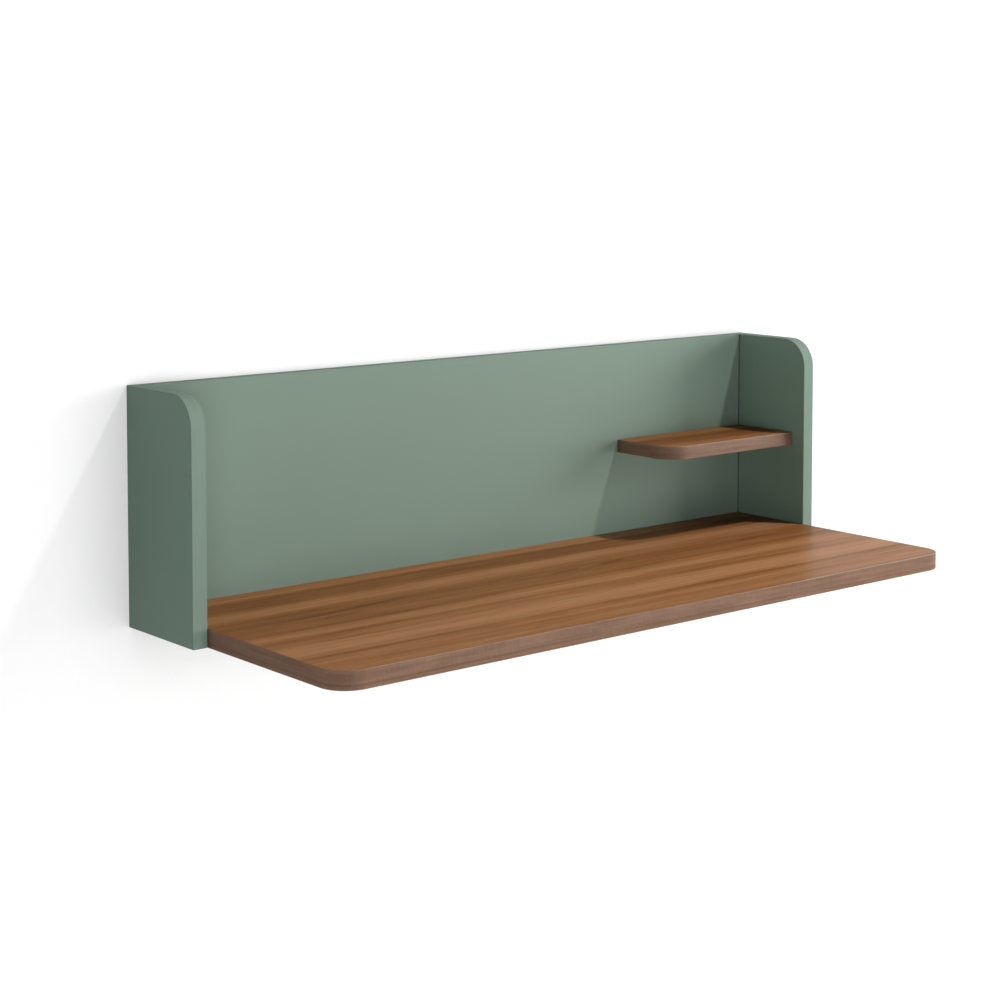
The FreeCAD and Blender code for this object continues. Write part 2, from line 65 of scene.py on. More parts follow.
UP = Vector((0.0, 0.0, 1.0))
BLACK = (0.0, 0.0, 0.0)
# The middle of a range from 0 to 1, such as the mean of a noise.
MIDDLE = 0.5
# The turn that stands a level plane upright, to face the room.
UPRIGHT = (math.pi / 2, 0.0, 0.0)
# How far a cutting shape runs past the face that it cuts, in millimetres.
OVERRUN = 1.0

Pair = tuple[float, float]
Triple = tuple[float, float, float]
Colour = tuple[float, float, float]
Profile = Sequence[Pair]
Box = tuple[Vector, Vector]
Stance = tuple[Vector, Vector, Vector]


class Axis(Enum):
    """A direction of the frame."""

    X = 0
    Y = 1
    Z = 2


@dataclass(frozen=True)
class Grain:
    """One noise of a finish, with its shares in what the finish varies.

    Attributes:
        scale: features per metre along each coordinate.
        shift: the shift of the scaled coordinates.
        detail: octaves of finer noise.
        roughness: the share of each finer octave.
        tone: its share in the tone of the colour.
        matt: its share in the roughness of the surface.
        relief: its share in the height of the relief.
    """

    scale: Triple
    shift: Triple = (0.0, 0.0, 0.0)
    detail: float = 2.0
    roughness: float = 0.5
    tone: float = 0.0
    matt: float = 0.0
    relief: float = 0.0

    def led_by(self, axis: Axis) -> Grain:
        """Return the grain with its first scale along another axis."""
        scale = list(self.scale)
        scale[0], scale[axis.value] = scale[axis.value], scale[0]
        return replace(self, scale=tuple(scale))


class Signal:
    """One value on the wires of a shader, which Python arithmetic extends with Math nodes."""

    def __init__(self, graph: Graph, socket: bpy.types.NodeSocket) -> None:
        """Wrap an output socket of a graph."""
        self.graph = graph
        self.socket = socket

    def _math(self, operation: str, first: Value, second: Value = 0.0) -> Signal:
        """Return the result of a Math node on one or two values."""
        return self.graph.add("ShaderNodeMath", {"operation": operation}, {0: first, 1: second})

    def __add__(self, other: Value) -> Signal:
        """Add a value."""
        return self._math("ADD", self, other)

    def __radd__(self, other: Value) -> Signal:
        """Add this to a value."""
        return self._math("ADD", other, self)

    def __sub__(self, other: Value) -> Signal:
        """Take a value away."""
        return self._math("SUBTRACT", self, other)

    def __rsub__(self, other: Value) -> Signal:
        """Take this away from a value."""
        return self._math("SUBTRACT", other, self)

    def __mul__(self, other: Value) -> Signal:
        """Multiply by a value."""
        return self._math("MULTIPLY", self, other)

    def __truediv__(self, other: Value) -> Signal:
        """Divide by a value."""
        return self._math("DIVIDE", self, other)

    def __abs__(self) -> Signal:
        """Drop the sign."""
        return self._math("ABSOLUTE", self)

    def step(self, low: float, high: float) -> Signal:
        """Return a smooth rise from 0 at one level to 1 at another.

        Args:
            low: the level where the rise starts.
            high: the level where it ends; a lower level than low makes a fall.

        Returns:
            The value of the rise, from 0 to 1.
        """
        inputs = {"Value": self, "From Min": low, "From Max": high}
        return self.graph.add("ShaderNodeMapRange", {"interpolation_type": "SMOOTHSTEP"}, inputs)


Value = Union[float, Signal]


class Graph:
    """The node tree of one material, with its Principled shader."""

    MIX_FACTOR, MIX_FIRST, MIX_SECOND, MIX_RESULT = 0, 6, 7, 2

    def __init__(self, name: str, **shader: Any) -> None:
        """Start a material.

        Args:
            name: the material's name.
            shader: constant values for the Principled shader's sockets, with _ for each space.
        """
        self.material = bpy.data.materials.new(name)
        self.material.use_nodes = True
        self.tree = self.material.node_tree
        self.shader = self.tree.nodes["Principled BSDF"]
        for key, value in shader.items():
            self.shader.inputs[key.replace("_", " ")].default_value = value
        self._place = self.add("ShaderNodeTexCoord", {}, {}, "Object")

    def add(
        self,
        kind: str,
        settings: Mapping[str, Any],
        inputs: Mapping[Union[int, str], Any],
        output: Union[int, str] = 0,
    ) -> Signal:
        """Add one node.

        Args:
            kind: the node's type.
            settings: its properties, set first; stops are a ramp's places and colours.
            inputs: the values or links of its sockets.
            output: the socket to return.

        Returns:
            The signal of that output.
        """
        node = self.tree.nodes.new(kind)
        for key, value in settings.items():
            if key == "stops":
                self._set_stops(node.color_ramp, value)
            else:
                setattr(node, key, value)
        for key, value in inputs.items():
            if isinstance(value, Signal):
                self.tree.links.new(value.socket, node.inputs[key])
            else:
                node.inputs[key].default_value = value
        return Signal(self, node.outputs[output])

    @staticmethod
    def _set_stops(ramp: bpy.types.ColorRamp, stops: Sequence[tuple[float, Colour]]) -> None:
        """Give a ramp its places and colours.

        Args:
            ramp: the colour ramp, with its two first stops.
            stops: the place and colour of each stop, in rising order.
        """
        while len(ramp.elements) < len(stops):
            ramp.elements.new(1.0)
        for element, (place, colour) in zip(ramp.elements, stops):
            element.position = place
            element.color = (*colour, 1.0)

    def feed(self, socket: str, signal: Signal) -> None:
        """Link a signal to a socket of the Principled shader."""
        self.tree.links.new(signal.socket, self.shader.inputs[socket])

    def axis(self, axis: Axis) -> Signal:
        """Return one Object coordinate."""
        return self.add("ShaderNodeSeparateXYZ", {}, {0: self._place}, axis.value)

    def vector(self, x: Value, y: Value, z: Value) -> Signal:
        """Return a vector of three values."""
        return self.add("ShaderNodeCombineXYZ", {}, {0: x, 1: y, 2: z})

    def noise(self, grain: Grain, where: Optional[Signal] = None) -> Signal:
        """Return a noise about zero, from -0.5 to 0.5.

        Args:
            grain: its scale, detail and roughness.
            where: the coordinates that it follows, or None for the Object coordinates.

        Returns:
            The noise less its mean.
        """
        mapping = {"Vector": where or self._place, "Location": grain.shift, "Scale": grain.scale}
        inputs = {
            "Vector": self.add("ShaderNodeMapping", {}, mapping),
            "Scale": 1.0,
            "Detail": grain.detail,
            "Roughness": grain.roughness,
        }
        return self.add("ShaderNodeTexNoise", {"noise_dimensions": "3D"}, inputs) - MIDDLE

    def ramp(self, factor: Signal, stops: Sequence[tuple[float, Colour]], kind: str = "LINEAR") -> Signal:
        """Return a colour along a ramp.

        Args:
            factor: the place on the ramp, from 0 to 1.
            stops: the ramp's places and colours.
            kind: how the ramp runs between its stops.

        Returns:
            The colour.
        """
        signal = self.add("ShaderNodeValToRGB", {"stops": stops}, {"Fac": factor})
        signal.socket.node.color_ramp.interpolation = kind
        return signal

    def mix(self, factor: Value, first: Any, second: Any, blend: str = "MIX") -> Signal:
        """Return a mix of two colours.

        Args:
            factor: the share of the second colour.
            first: a colour or signal.
            second: a colour or signal.
            blend: how the second colour is laid on the first.

        Returns:
            The mixed colour.
        """
        colours = [c if isinstance(c, Signal) else (*c, 1.0) for c in (first, second)]
        settings = {"data_type": "RGBA", "blend_type": blend}
        inputs = {self.MIX_FACTOR: factor, self.MIX_FIRST: colours[0], self.MIX_SECOND: colours[1]}
        return self.add("ShaderNodeMix", settings, inputs, self.MIX_RESULT)

    def bump(self, height: Signal, depth: float) -> None:
        """Feed a relief to the shader's normal.

        Args:
            height: the relief, about one unit high.
            depth: the height of one unit, in metres.
        """
        inputs = {"Height": height, "Strength": 1.0, "Distance": depth}
        self.feed("Normal", self.add("ShaderNodeBump", {}, inputs, "Normal"))


def toned(colour: Colour, share: float) -> Colour:
    """Return a colour at a share of its brightness."""
    return tuple(share * part for part in colour)


@dataclass(frozen=True)
class Vein:
    """One fine line of the wood's figure, in millimetres.

    Attributes:
        start: the X where it starts and its distance from the board's rear edge there.
        end: the same where it ends.
        width: its half width, to where it has faded out.
        depth: how much it darkens the tone; a pale line has less than 0.
        fade: the share of its length over which each end fades.
    """

    start: Pair
    end: Pair
    width: float
    depth: float
    fade: float = 0.25

    def shade(self, along: Signal, across: Signal) -> Signal:
        """Return how much the vein darkens each place.

        Args:
            along: the X of the place, in metres.
            across: its distance from the rear edge, in metres.

        Returns:
            The loss of tone.
        """
        (x0, d0), (x1, d1) = self.start, self.end
        slope = (d1 - d0) / (x1 - x0)
        off = abs(across - along * slope - (d0 - slope * x0) * MM)
        fade = (x1 - x0) * self.fade
        rise = along.step(x0 * MM, (x0 + fade) * MM)
        fall = along.step(x1 * MM, (x1 - fade) * MM)
        return off.step(self.width * MM, 0.0) * rise * fall * self.depth


@dataclass(frozen=True)
class WalnutFace:
    """Satin walnut-grain face: stripes across the depth, with veins, streaks, fibres and pores along X.

    Attributes:
        name: the material's name.
        back_edge: the Y of the board's rear edge, where the stripes start.
        depth: how far the stripes run towards the front.
        stripes: distance from the rear edge in millimetres and tone, from 0, dark, to 1, light.
        veins: the fine lines laid on the stripes.
        tones: the colours of the darkest, middle and lightest wood.
        roughness: the mean roughness.
        relief: the depth of the pores.
        sway, sway_width: how the stripes wander, and how far.
        streak, strand, fibre: the figure, from broad to fine.
        strand_sway: how far the strands push the veins aside.
        pore, pore_edge: the pores, and the levels of their noise where they start and are full.
        growth, growth_edge: thin dark lines, and how near the zero of their noise they fade and are full.
        blush, blush_edge: warm patches, and the levels of their noise where they start and are full.
        blush_tint, blush_share: the colour of the patches, and how strong it is.
    """

    name: str
    back_edge: float
    depth: float
    stripes: tuple[Pair, ...] = (
        (0, 0.60), (14, 0.66), (30, 0.68), (38, 0.38), (45, 0.20), (58, 0.21), (72, 0.28), (87, 0.27),
        (93, 0.38), (98, 0.70), (116, 0.78), (132, 0.65), (148, 0.40), (162, 0.32), (180, 0.29), (190, 0.37),
        (226, 0.40), (236, 0.62), (251, 0.81), (262, 0.72), (269, 0.54), (299, 0.56), (307, 0.80),
        (331, 0.98), (350, 0.86), (361, 0.58), (372, 0.48), (388, 0.72), (404, 0.55),
        (427, 0.71), (446, 0.58),
    )
    veins: tuple[Vein, ...] = (
        Vein((-760, 236), (-60, 225), 6.0, 0.28),
        Vein((-160, 227), (720, 208), 6.0, 0.26),
        Vein((-900, 366), (900, 365), 4.5, 0.28),
        Vein((-700, 273), (-220, 273), 3.5, 0.30),
        Vein((-520, 190), (-230, 157), 4.5, 0.40),
        Vein((-440, 180), (-240, 168), 3.5, 0.34),
        Vein((-10, 178), (60, 174), 6.0, 0.34),
        Vein((90, 174), (160, 167), 6.0, 0.34),
        Vein((385, 180), (465, 173), 6.0, 0.34),
        Vein((-120, 68), (20, 66), 5.0, 0.28),
        Vein((-320, 44), (420, 46), 5.0, 0.16),
        Vein((60, 262), (380, 270), 4.0, 0.24),
        Vein((120, 296), (420, 288), 4.0, 0.20),
        Vein((340, 386), (620, 379), 4.0, 0.24),
        Vein((-520, 263), (-40, 262), 3.0, -0.16),
        Vein((-480, 429), (-180, 425), 4.0, -0.18),
    )
    tones: tuple[Colour, Colour, Colour] = (
        (0.134, 0.047, 0.011),
        (0.243, 0.103, 0.036),
        (0.350, 0.170, 0.077),
    )
    roughness: float = 0.36
    relief: float = 0.02 * MM
    sway: Grain = Grain((1.7, 6.0, 0.0))
    sway_width: float = 16 * MM
    streak: Grain = Grain((1.8, 80.0, 0.0), detail=4.0, roughness=0.6, tone=0.85, matt=0.10)
    strand: Grain = Grain((6.0, 270.0, 0.0), (5.2, 1.3, 0.0), detail=3.0, roughness=0.6, tone=1.0)
    strand_sway: float = 9 * MM
    fibre: Grain = Grain(
        (16.0, 900.0, 0.0), (3.1, 0.4, 0.0), detail=3.0, roughness=0.6, tone=0.75, relief=0.6
    )
    pore: Grain = Grain((55.0, 1500.0, 0.0), (7.3, 2.2, 0.0), detail=1.0, tone=-0.12, matt=0.12)
    pore_edge: Pair = (0.14, 0.24)
    growth: Grain = Grain((1.6, 60.0, 0.0), (2.7, 6.1, 0.0), roughness=0.45, tone=-0.16)
    growth_edge: Pair = (0.030, 0.0)
    blush: Grain = Grain((0.8, 28.0, 0.0), (4.0, 8.0, 0.0))
    blush_edge: Pair = (0.0, 0.25)
    blush_tint: Colour = (1.0, 0.90, 0.84)
    blush_share: float = 0.45

    def material(self) -> bpy.types.Material:
        """Build the material."""
        graph = Graph(self.name, IOR=1.5, Specular_IOR_Level=0.02)
        x = graph.axis(Axis.X)
        distance = self.back_edge - graph.axis(Axis.Y) + graph.noise(self.sway) * self.sway_width
        stops = [(place * MM / self.depth, (tone,) * 3) for place, tone in self.stripes]
        stripe = graph.ramp(distance / self.depth, stops, "EASE")

        streak, strand, fibre = (graph.noise(grain) for grain in (self.streak, self.strand, self.fibre))
        pores = graph.noise(self.pore).step(*self.pore_edge)
        growth = abs(graph.noise(self.growth)).step(*self.growth_edge)
        tone = stripe + streak * self.streak.tone + strand * self.strand.tone + fibre * self.fibre.tone
        tone = tone + pores * self.pore.tone + growth * self.growth.tone
        for vein in self.veins:
            tone = tone - vein.shade(x, distance + strand * self.strand_sway)
        wood = graph.ramp(tone, list(zip((0.0, MIDDLE, 1.0), self.tones)))
        blush = graph.noise(self.blush).step(*self.blush_edge) * self.blush_share
        graph.feed("Base Color", graph.mix(blush, wood, self.blush_tint, "MULTIPLY"))
        graph.feed("Roughness", self.roughness + streak * self.streak.matt + pores * self.pore.matt)
        graph.bump(fibre * self.fibre.relief - pores, self.relief)
        return graph.material


@dataclass(frozen=True)
class WalnutEdge:
    """Walnut-look edge band: lines along the run, with faint ticks across it, and painted shade where it
    meets a panel.

    Attributes:
        name: the material's name.
        middle: the X from which the run is measured, so that it grows steadily round the corners.
        bottom: the Z of the band's lower edge.
        height: the band's height.
        front: the Y of the front run, whose upper arris is polished.
        joint: the Y of the panel that the run starts from, with a dark line and painted shade at the joint.
        tones: the colours of the darkest and lightest lines.
        tone: the mean tone, from 0, dark, to 1, light.
        roughness: the mean roughness.
        relief: the depth of the lines.
        lines, streaks, ticks, clouds: the figure, along the run, X and Z.
        waver, waver_share: how the seam line wanders, and how far, as a share of the band's height.
        seam_level, seam_edge: the height of the seam line, and where it fades out and is full, as shares.
        seam_loss: how much the seam line darkens the tone.
        foot_tint, foot_edge: how the wood under the seam differs in colour, and the blend's half width.
        gap_edge, gap_loss: where the dark line in the joint, partly the joint itself and partly painted
            contact shadow, starts and is full, and how dark it is.
        shade_reach, shade_loss: how far the painted soft shade beside the joint reaches, and how dark it is.
        arris_edge: how far below the top the polished arris starts and is full.
        front_edge: how far behind the front the polish ends and is full.
    """

    name: str
    middle: float
    bottom: float
    height: float
    front: float
    joint: float
    tones: tuple[Colour, Colour] = ((0.114, 0.065, 0.043), (0.218, 0.131, 0.088))
    tone: float = 0.52
    roughness: float = 0.42
    relief: float = 0.015 * MM
    lines: Grain = Grain((2.5, 1.0, 420.0), detail=3.0, roughness=0.6, tone=0.80)
    streaks: Grain = Grain((11.0, 1.0, 190.0), detail=3.0, roughness=0.6, tone=0.80)
    ticks: Grain = Grain((280.0, 4.0, 90.0), detail=3.0, roughness=0.65, tone=0.50, matt=0.12, relief=0.5)
    clouds: Grain = Grain((15.0, 3.0, 60.0), tone=0.60)
    waver: Grain = Grain((7.0, 1.0, 0.0), detail=1.0)
    waver_share: float = 0.10
    seam_level: float = 0.27
    seam_edge: Pair = (0.09, 0.02)
    seam_loss: float = 0.22
    foot_tint: Colour = (1.0, 0.96, 0.92)
    foot_edge: float = 0.06
    gap_edge: Pair = (2.2 * MM, 0.5 * MM)
    gap_loss: float = 0.65
    shade_reach: float = 16 * MM
    shade_loss: float = 0.25
    arris_edge: Pair = (0.9 * MM, 0.3 * MM)
    front_edge: Pair = (8 * MM, 2 * MM)

    def material(self) -> bpy.types.Material:
        """Build the material."""
        graph = Graph(self.name, IOR=1.5, Specular_IOR_Level=0.03, Coat_Roughness=0.28)
        x, y, z = (graph.axis(axis) for axis in Axis)
        where = graph.vector(abs(x - self.middle) + y, x, z)
        lines, streaks, ticks, clouds, waver = (
            graph.noise(grain, where)
            for grain in (self.lines, self.streaks, self.ticks, self.clouds, self.waver)
        )
        level = (z - self.bottom) / self.height + waver * self.waver_share
        seam = abs(level - self.seam_level).step(*self.seam_edge)
        tone = self.tone + lines * self.lines.tone + streaks * self.streaks.tone + ticks * self.ticks.tone
        tone = tone + clouds * self.clouds.tone - seam * self.seam_loss
        wood = graph.ramp(tone, list(zip((0.0, 1.0), self.tones)))
        foot = level.step(self.seam_level + self.foot_edge, self.seam_level - self.foot_edge)
        wood = graph.mix(foot, wood, self.foot_tint, "MULTIPLY")
        # A dark line in the joint deepened by painted contact shadow, and painted soft shade beside it.
        gap = y.step(*(self.joint - reach for reach in self.gap_edge)) * self.gap_loss
        shade = y.step(self.joint - self.shade_reach, self.joint) * self.shade_loss
        graph.feed("Base Color", graph.mix(gap + shade, wood, BLACK))
        graph.feed("Roughness", self.roughness + ticks * self.ticks.matt)
        arris = z.step(*(self.bottom + self.height - reach for reach in self.arris_edge))
        graph.feed("Coat Weight", arris * y.step(*(self.front + reach for reach in self.front_edge)))
        graph.bump(lines + ticks * self.ticks.relief, self.relief)
        return graph.material


@dataclass(frozen=True)
class SageFace:
    """Matt sage-green lacquer with a faint cloudiness, a fine orange peel and a dark line in each joint,
    partly the joint and partly painted corner shade.

    Attributes:
        joint: the X and Y of the corners where the side panels meet the back panel.
        name: the material's name.
        colour: the lacquer's colour.
        contrast: how far the clouds darken and lighten it.
        roughness: its mean roughness.
        relief: the depth of the orange peel.
        clouds, speckle, peel: the unevenness of the lacquer, from broad to fine.
        joint_edge: where the line in a joint, with its painted corner shade, fades out and is full.
        joint_loss: the share of the colour that the line takes, darkening the joint and painting shade in
            the corner.
    """

    joint: Pair
    name: str = "sage_lacquer_face"
    colour: Colour = (0.156, 0.214, 0.173)
    contrast: float = 0.07
    roughness: float = 0.52
    relief: float = 0.006 * MM
    clouds: Grain = Grain((5.0, 5.0, 5.0), detail=3.0, roughness=0.6, tone=0.5, matt=0.06)
    speckle: Grain = Grain((1400.0, 1400.0, 1400.0), tone=0.3, matt=0.08, relief=0.3)
    peel: Grain = Grain((420.0, 420.0, 420.0), detail=1.0)
    joint_edge: Pair = (1.8 * MM, 0.54 * MM)
    joint_loss: float = 0.75

    def material(self) -> bpy.types.Material:
        """Build the material."""
        graph = Graph(self.name, IOR=1.45, Specular_IOR_Level=0.08)
        clouds, speckle, peel = (graph.noise(grain) for grain in (self.clouds, self.speckle, self.peel))
        tone = MIDDLE + clouds * self.clouds.tone + speckle * self.speckle.tone
        deep, pale = toned(self.colour, 1 - self.contrast), toned(self.colour, 1 + self.contrast)
        lacquer = graph.mix(tone, deep, pale)
        side, back = self.joint
        # Dark line in each inside corner, partly the joint and partly painted corner shade.
        beside = abs(abs(graph.axis(Axis.X)) - side).step(*self.joint_edge)
        before = abs(graph.axis(Axis.Y) - back).step(*self.joint_edge)
        graph.feed("Base Color", graph.mix(beside * before * self.joint_loss, lacquer, BLACK))
        graph.feed("Roughness", self.roughness + clouds * self.clouds.matt + speckle * self.speckle.matt)
        graph.bump(peel + speckle * self.speckle.relief, self.relief)
        return graph.material


@dataclass(frozen=True)
class SageEdge:
    """Sage-green edge band with faint lines along its run.

    Attributes:
        name: the material's name.
        across: the direction across the lines.
        colour: the band's colour.
        contrast: how far the lines darken and lighten it.
        roughness: its mean roughness.
        relief: the depth of the lines.
        lines, speckle: the lines, with their scale across the run first, and a fine unevenness.
    """

    name: str
    across: Axis
    colour: Colour = (0.153, 0.209, 0.169)
    contrast: float = 0.12
    roughness: float = 0.85
    relief: float = 0.01 * MM
    lines: Grain = Grain((230.0, 6.0, 6.0), detail=3.0, roughness=0.6, tone=0.9, matt=0.12)
    speckle: Grain = Grain((1100.0, 1100.0, 1100.0), detail=1.0, tone=0.2)

    def material(self) -> bpy.types.Material:
        """Build the material."""
        graph = Graph(self.name, IOR=1.45, Specular_IOR_Level=0.03)
        lines = graph.noise(self.lines.led_by(self.across))
        tone = MIDDLE + lines * self.lines.tone + graph.noise(self.speckle) * self.speckle.tone
        deep, pale = toned(self.colour, 1 - self.contrast), toned(self.colour, 1 + self.contrast)
        graph.feed("Base Color", graph.mix(tone, deep, pale))
        graph.feed("Roughness", self.roughness + lines * self.lines.matt)
        graph.bump(lines, self.relief)
        return graph.material


@dataclass(frozen=True)
class Metal:
    """Plated or cast metal with cloudy brightness and fine scratches.

    Attributes:
        name: the material's name.
        colour: the metal's colour.
        roughness: its mean roughness.
        relief: the depth of its scratches.
        dullness: the brightness of its dullest places, as a share.
        tone: how bright it is between its dullest places and its colour.
        clouds, scratches: the unevenness of its surface.
    """

    name: str
    colour: Colour
    roughness: float
    relief: float
    dullness: float = 0.72
    tone: float = 0.6
    clouds: Grain = Grain((60.0, 60.0, 60.0), detail=3.0, roughness=0.6, tone=0.8, matt=0.18, relief=0.5)
    scratches: Grain = Grain((140.0, 900.0, 2600.0), tone=0.4, matt=0.14)

    def material(self) -> bpy.types.Material:
        """Build the material."""
        graph = Graph(self.name, Metallic=1.0)
        clouds, scratches = graph.noise(self.clouds), graph.noise(self.scratches)
        tone = self.tone + clouds * self.clouds.tone + scratches * self.scratches.tone
        graph.feed("Base Color", graph.mix(tone, toned(self.colour, self.dullness), self.colour))
        matt = self.roughness + clouds * self.clouds.matt + scratches * self.scratches.matt
        graph.feed("Roughness", matt)
        graph.bump(scratches + clouds * self.clouds.relief, self.relief)
        return graph.material


@dataclass(frozen=True)
class CapPlastic:
    """Brown moulded plastic with a fine spark-eroded grain.

    Attributes:
        name: the material's name.
        colour: the plastic's colour.
        dullness: the brightness of its darkest places, as a share.
        roughness: its mean roughness.
        relief: the depth of its grain.
        pits: the grain.
    """

    name: str = "cap_plastic_grain"
    colour: Colour = (0.135, 0.066, 0.034)
    dullness: float = 0.82
    roughness: float = 0.45
    relief: float = 0.02 * MM
    pits: Grain = Grain((1900.0, 1900.0, 1900.0), matt=0.15)

    def material(self) -> bpy.types.Material:
        """Build the material."""
        graph = Graph(self.name, IOR=1.49)
        pits = graph.noise(self.pits)
        graph.feed("Base Color", graph.mix(MIDDLE + pits, toned(self.colour, self.dullness), self.colour))
        graph.feed("Roughness", self.roughness + pits * self.pits.matt)
        graph.bump(pits, self.relief)
        return graph.material


@dataclass(frozen=True)
class Beech:
    """Plain beech, pale brown, with short darker flecks along the dowel.

    Attributes:
        name: the material's name.
        along: the direction of the grain.
        tones: the colours of the darkest and lightest wood.
        tone: the mean tone, from 0, dark, to 1, light.
        roughness: the mean roughness.
        relief: the depth of the fibres.
        fibres, flecks: the figure, with its scale along the grain first.
        fleck_edge: the levels of the flecks' noise where they start and are full.
    """

    name: str
    along: Axis
    tones: tuple[Colour, Colour] = ((0.47, 0.29, 0.155), (0.66, 0.47, 0.29))
    tone: float = 0.6
    roughness: float = 0.62
    relief: float = 0.03 * MM
    fibres: Grain = Grain((60.0, 700.0, 700.0), detail=3.0, roughness=0.6, tone=0.9, matt=0.15)
    flecks: Grain = Grain((120.0, 1400.0, 1400.0), detail=1.0, tone=-0.4)
    fleck_edge: Pair = (0.12, 0.20)

    def material(self) -> bpy.types.Material:
        """Build the material."""
        graph = Graph(self.name, IOR=1.5)
        fibres = graph.noise(self.fibres.led_by(self.along))
        flecks = graph.noise(self.flecks.led_by(self.along)).step(*self.fleck_edge)
        tone = self.tone + fibres * self.fibres.tone + flecks * self.flecks.tone
        graph.feed("Base Color", graph.ramp(tone, list(zip((0.0, 1.0), self.tones))))
        graph.feed("Roughness", self.roughness + fibres * self.fibres.matt)
        graph.bump(fibres, self.relief)
        return graph.material


def dress(node: str, material: bpy.types.Material) -> None:
    """Give a node of the frame its material.

    Args:
        node: the node's name.
        material: the material for all its faces.
    """
    for slot in frame["nodes"][node].material_slots:
        slot.material = material
    LOG.info("dressed %s with %s", node, material.name)


@dataclass
class PanelCase:
    """The back panel and the two side panels, with their edge bands.

    Attributes:
        shade_tinted_side_colour: the colour of the side panels' lacquer, a little greener than the back
            panel's: painted shade, as their faces are mostly seen in shade.
        upright_edge: the finish of the side panels' bands.
        level_edge: the finish of the back panel's bands.
    """

    shade_tinted_side_colour: Colour = (0.144, 0.213, 0.168)
    upright_edge: SageEdge = SageEdge("sage_side_edge", Axis.X)
    level_edge: SageEdge = SageEdge("sage_back_edge", Axis.Y)

    def build(self) -> None:
        """Dress the panels and bands."""
        low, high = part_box("back_panel")
        joint = (high.x, low.y)
        dress("back_panel", SageFace(joint).material())
        # The side panels get a greener copy of the lacquer as painted shade, since their faces are mostly
        # seen in shade.
        side_face = SageFace(joint, "sage_side_face", self.shade_tinted_side_colour).material()
        upright = self.upright_edge.material()
        level = self.level_edge.material()
        for side in ("left", "right"):
            dress(f"{side}_side_panel", side_face)
            for place in ("front", "bottom"):
                dress(f"{side}_side_{place}_band", upright)
        for place in ("top", "bottom"):
            dress(f"back_panel_{place}_band", level)


@dataclass
class WalnutBoards:
    """The desktop and the corner shelf, with their edge bands.

    Attributes:
        shelf_shade_tint: how the shelf's face is darkened from the desktop's colour, as painted shade, since
            the shelf lies in the shade of the panels.
        shelf_edge_tones: the colours of the shelf's band, a little paler than the desktop's.
    """

    shelf_shade_tint: Colour = (0.83, 0.77, 0.71)
    shelf_edge_tones: tuple[Colour, Colour] = ((0.120, 0.073, 0.052), (0.232, 0.150, 0.108))

    def build(self) -> None:
        """Dress both boards from one run of veneer, and each band by its own corners."""
        low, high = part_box("desktop_edge_band")
        run = {"back_edge": high.y, "depth": high.y - low.y}
        dress("desktop", WalnutFace("walnut_desktop_face", **run).material())
        # The shelf's veneer is a darker copy of the desktop's, as painted shade.
        tones = tuple(
            tuple(part * share for part, share in zip(tone, self.shelf_shade_tint)) for tone in WalnutFace.tones
        )
        dress("corner_shelf", WalnutFace("walnut_shelf_face", tones=tones, **run).material())

        panel_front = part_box("left_side_front_band")[0].y
        edge = WalnutEdge("walnut_desktop_edge", 0.0, low.z, high.z - low.z, low.y, panel_front)
        dress("desktop_edge_band", edge.material())
        low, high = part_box("corner_shelf_edge_band")
        level = (low.z, high.z - low.z)
        edge = WalnutEdge("walnut_shelf_edge", high.x, *level, low.y, high.y, self.shelf_edge_tones)
        dress("corner_shelf_edge_band", edge.material())


